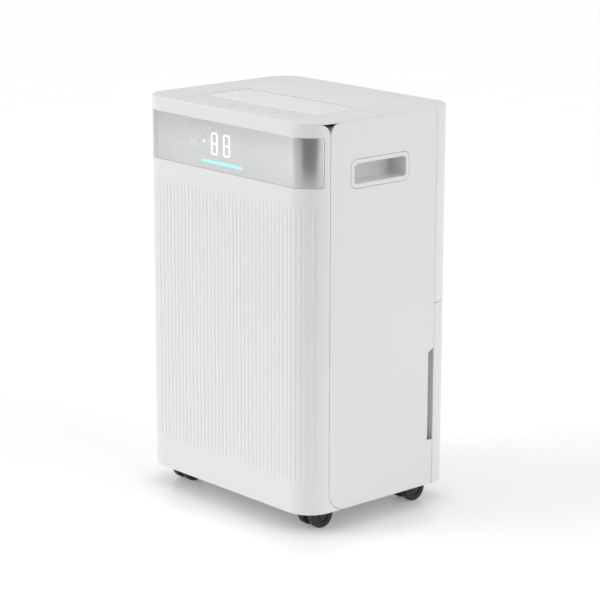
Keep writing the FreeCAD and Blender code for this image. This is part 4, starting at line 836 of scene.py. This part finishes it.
def makeGrille():
    s = grilleSizes
    top, bottom = bodyTop - s["below"], grilleLow.z
    gap, rim, edge = s["gap"], s["rim"], s["edge"]
    shelf = bottom + s["drop"] - s["coverWall"]
    rings = [
        openLoop(s["lip"], bottom), openLoop(s["lip"], shelf),
        openLoop(-gap, shelf), openLoop(-gap, top - edge),
        openLoop(-gap - edge * 0.3, top - edge * 0.3), openLoop(-gap - edge, top),
        openLoop(-gap - rim + edge, top), openLoop(-gap - rim + edge * 0.3, top - edge * 0.3),
        openLoop(-gap - rim, top - edge), openLoop(-gap - rim, bottom),
    ]
    shape = bmesh.new()
    loft(shape, rings + [rings[0]], False)
    frameMesh = meshFrom("rim", shape)
    pitch = (openBack - openFront - 2 * rim) / (s["slats"] + 1)
    first = openFront + rim + pitch - s["lean"] / 2
    low, high = bottom + s["slatFoot"], top - s["slatSink"]
    half = openHalf - s["slatEnd"]
    thick, lean, shoulder = s["slatThick"], s["lean"], high - s["slatTip"]
    outline = [(first, low), (first + thick, low), (first + thick + lean, shoulder)]
    outline += [(first + lean + thick * 0.8, high), (first + lean + thick * 0.2, high)]
    outline += [(first + lean, shoulder)]
    shape = bmesh.new()
    loft(shape, [[(x, y, z) for y, z in outline] for x in (-half, half)])
    values = {"Count": s["slats"], "Step": (0.0, pitch, 0.0), "Rows": 1}
    slats = grown(meshFrom("slat", shape), rowTree, "grilleWhite", values)
    shape = bmesh.new()
    shape.from_mesh(frameMesh)
    shape.from_mesh(slats)
    mesh = bpy.data.meshes.new("grille")
    shape.to_mesh(mesh)
    shape.free()
    addPiece("outletGrille", mesh, "cabinet", "grilleWhite", ("outlet_grille",))


makeTopCover()
makeTouchSigns()
makeGrille()
print("top done")


outerCopies = [
    ("sidePanelLeft", "side_panel_left", "cabinet", "coverWhite", 0.0),
    ("sidePanelRight", "side_panel_right", "cabinet", "coverWhite", 0.0),
    ("rearCover", "rear_cover", "cabinet", "coverWhite", 0.5 * mm),
    ("waterTank", "water_tank", "tank", "coverWhite", 0.5 * mm),
    ("tankLid", "tank_lid", "tank", "frameGrey", 0.4 * mm),
    ("handleCupLeft", "handle_cup_left", "cabinet", "coverWhite", 0.0),
    ("handleCupRight", "handle_cup_right", "cabinet", "coverWhite", 0.0),
    ("cordGland", "cord_gland", "cabinet", "coverWhite", 0.3 * mm),
    ("drainSpigot", "drain_spigot", "cabinet", "spoutGrey", 0.2 * mm),
    ("filterFrame", "filter_frame", "filter", "coverWhite", 0.3 * mm),
]
for pieceName, nodeName, bodyName, finishName, width in outerCopies:
    softCopy(pieceName, nodeName, bodyName, finishName, width)
for end in ("fl", "fr", "rl", "rr"):
    softCopy("casterFork_" + end, "caster_fork_" + end, "caster_" + end, "casterBlack", 0.3 * mm)
    softCopy("casterWheels_" + end, "caster_wheels_" + end, "wheels_" + end, "casterBlack", 0.0)
print("outer pieces done")


stageSizes = {
    "lens": 142.434, "azimuth": 48.300408, "elevation": 14.024946, "roll": 0.132208,
    "distance": 3.4262754, "right": 4.10206 * mm, "up": -19.21046 * mm, "aim": (0, 0, 0.305),
}
floorSizes = {"half": 30.0, "tone": (0.955, 0.965), "rough": 0.22, "shine": 0.35, "glow": 0.2}
flagSizes = {"azimuth": 44, "distance": 1.7, "width": 1.8, "height": 1.5, "tone": 0.16}
skySizes = {"horizon": 0.56, "zenith": 0.74, "rise": 0.9, "seen": 1.1}
# bearing, height and spread in degrees, and strength
suns = {"frontSun": (-38, 26, 40, 1.15), "sideSun": (104, 24, 50, 0.7)}


def linkMesh(name, corners):
    mesh = bpy.data.meshes.new(name)
    mesh.from_pydata(corners, [], [(0, 1, 2, 3)])
    sheet = bpy.data.objects.new(name, mesh)
    scene.collection.objects.link(sheet)
    return sheet


def makeFloor():
    s = floorSizes
    half = s["half"]
    floor = linkMesh("floor", [(-half, -half, 0), (half, -half, 0), (half, half, 0), (-half, half, 0)])
    material = bpy.data.materials.new("floorPale")
    material.use_nodes = True
    tree = material.node_tree
    shader = tree.nodes["Principled BSDF"]
    place = tree.nodes.new("ShaderNodeTexCoord").outputs["Object"]
    tone = mapRange(tree, noiseNode(tree, place, 3.0), 0.3, 0.7, *s["tone"])
    colour = addNode(tree, "ShaderNodeCombineColor", None, in0=tone, in1=tone, in2=tone)
    tree.links.new(colour.outputs[0], shader.inputs["Base Color"])
    shader.inputs["Roughness"].default_value = s["rough"]
    shader.inputs["Specular IOR Level"].default_value = s["shine"]
    shader.inputs["Emission Color"].default_value = (1, 1, 1, 1)
    shader.inputs["Emission Strength"].default_value = s["glow"]
    floor.data.materials.append(material)


def makeCamera():
    s = stageSizes
    azimuth, elevation, roll = (math.radians(s[key]) for key in ("azimuth", "elevation", "roll"))
    flat = math.cos(elevation)
    back = Vector((math.sin(azimuth) * flat, -math.cos(azimuth) * flat, math.sin(elevation)))
    right = (-back).cross(Vector((0, 0, 1))).normalized()
    up = right.cross(-back)
    turnedRight = math.cos(roll) * right + math.sin(roll) * up
    turnedUp = math.cos(roll) * up - math.sin(roll) * right
    data = bpy.data.cameras.new("camera")
    data.lens = s["lens"]
    data.sensor_width = 36
    camera = bpy.data.objects.new("camera", data)
    scene.collection.objects.link(camera)
    place = Vector(s["aim"]) + back * s["distance"] + turnedRight * s["right"] + turnedUp * s["up"]
    turned = Matrix((turnedRight, turnedUp, back)).transposed().to_4x4()
    camera.matrix_world = Matrix.Translation(place) @ turned
    data.clip_end = 100
    scene.camera = camera


def addSun(name, azimuth, elevation, spread, strength):
    # a wide soft light from far away, at a bearing round the cabinet
    data = bpy.data.lights.new(name, "SUN")
    data.angle = math.radians(spread)
    data.energy = strength
    lamp = bpy.data.objects.new(name, data)
    scene.collection.objects.link(lamp)
    a, e = math.radians(azimuth), math.radians(elevation)
    away = Vector((math.sin(a) * math.cos(e), -math.cos(a) * math.cos(e), math.sin(e)))
    lamp.location = away * 5
    lamp.rotation_euler = (-away).to_track_quat("-Z", "Y").to_euler()


def addFlag():
    # a grey card beside the camera that the corners mirror, as a dimmer gap between the lights
    s = flagSizes
    a = math.radians(s["azimuth"])
    middle = Vector((math.sin(a), -math.cos(a), 0)) * s["distance"]
    aside = Vector((math.cos(a), math.sin(a), 0)) * s["width"] / 2
    rise = Vector((0, 0, s["height"]))
    flag = linkMesh("flag", [middle - aside, middle + aside, middle + aside + rise, middle - aside + rise])
    flag.visible_camera = False
    flag.visible_shadow = False
    look = {"colour": (s["tone"],) * 3, "rough": 0.9, "dust": 0.0, "rub": 0.0}
    flag.data.materials.append(makeFinish("flagGrey", look))


def makeWorld():
    s = skySizes
    world = bpy.data.worlds.new("studio")
    scene.world = world
    world.use_nodes = True
    tree = world.node_tree
    tree.nodes.clear()
    view = tree.nodes.new("ShaderNodeTexCoord").outputs["Generated"]
    parts = addNode(tree, "ShaderNodeSeparateXYZ", None, in0=view)
    strength = mapRange(tree, parts.outputs["Z"], 0.0, s["rise"], s["horizon"], s["zenith"])
    soft = addNode(tree, "ShaderNodeBackground", None, Strength=strength)
    soft.inputs["Color"].default_value = (1, 1, 1, 1)
    plain = addNode(tree, "ShaderNodeBackground", None, Strength=s["seen"])
    plain.inputs["Color"].default_value = (1, 1, 1, 1)
    path = tree.nodes.new("ShaderNodeLightPath")
    seen = path.outputs["Is Camera Ray"]
    mixed = addNode(tree, "ShaderNodeMixShader", None, in0=seen, in1=soft.outputs[0], in2=plain.outputs[0])
    output = tree.nodes.new("ShaderNodeOutputWorld")
    tree.links.new(mixed.outputs[0], output.inputs["Surface"])


makeFloor()
makeCamera()
makeWorld()
addFlag()
for sunName, light in suns.items():
    addSun(sunName, *light)
scene.view_settings.view_transform = "Standard"
print("stage done")
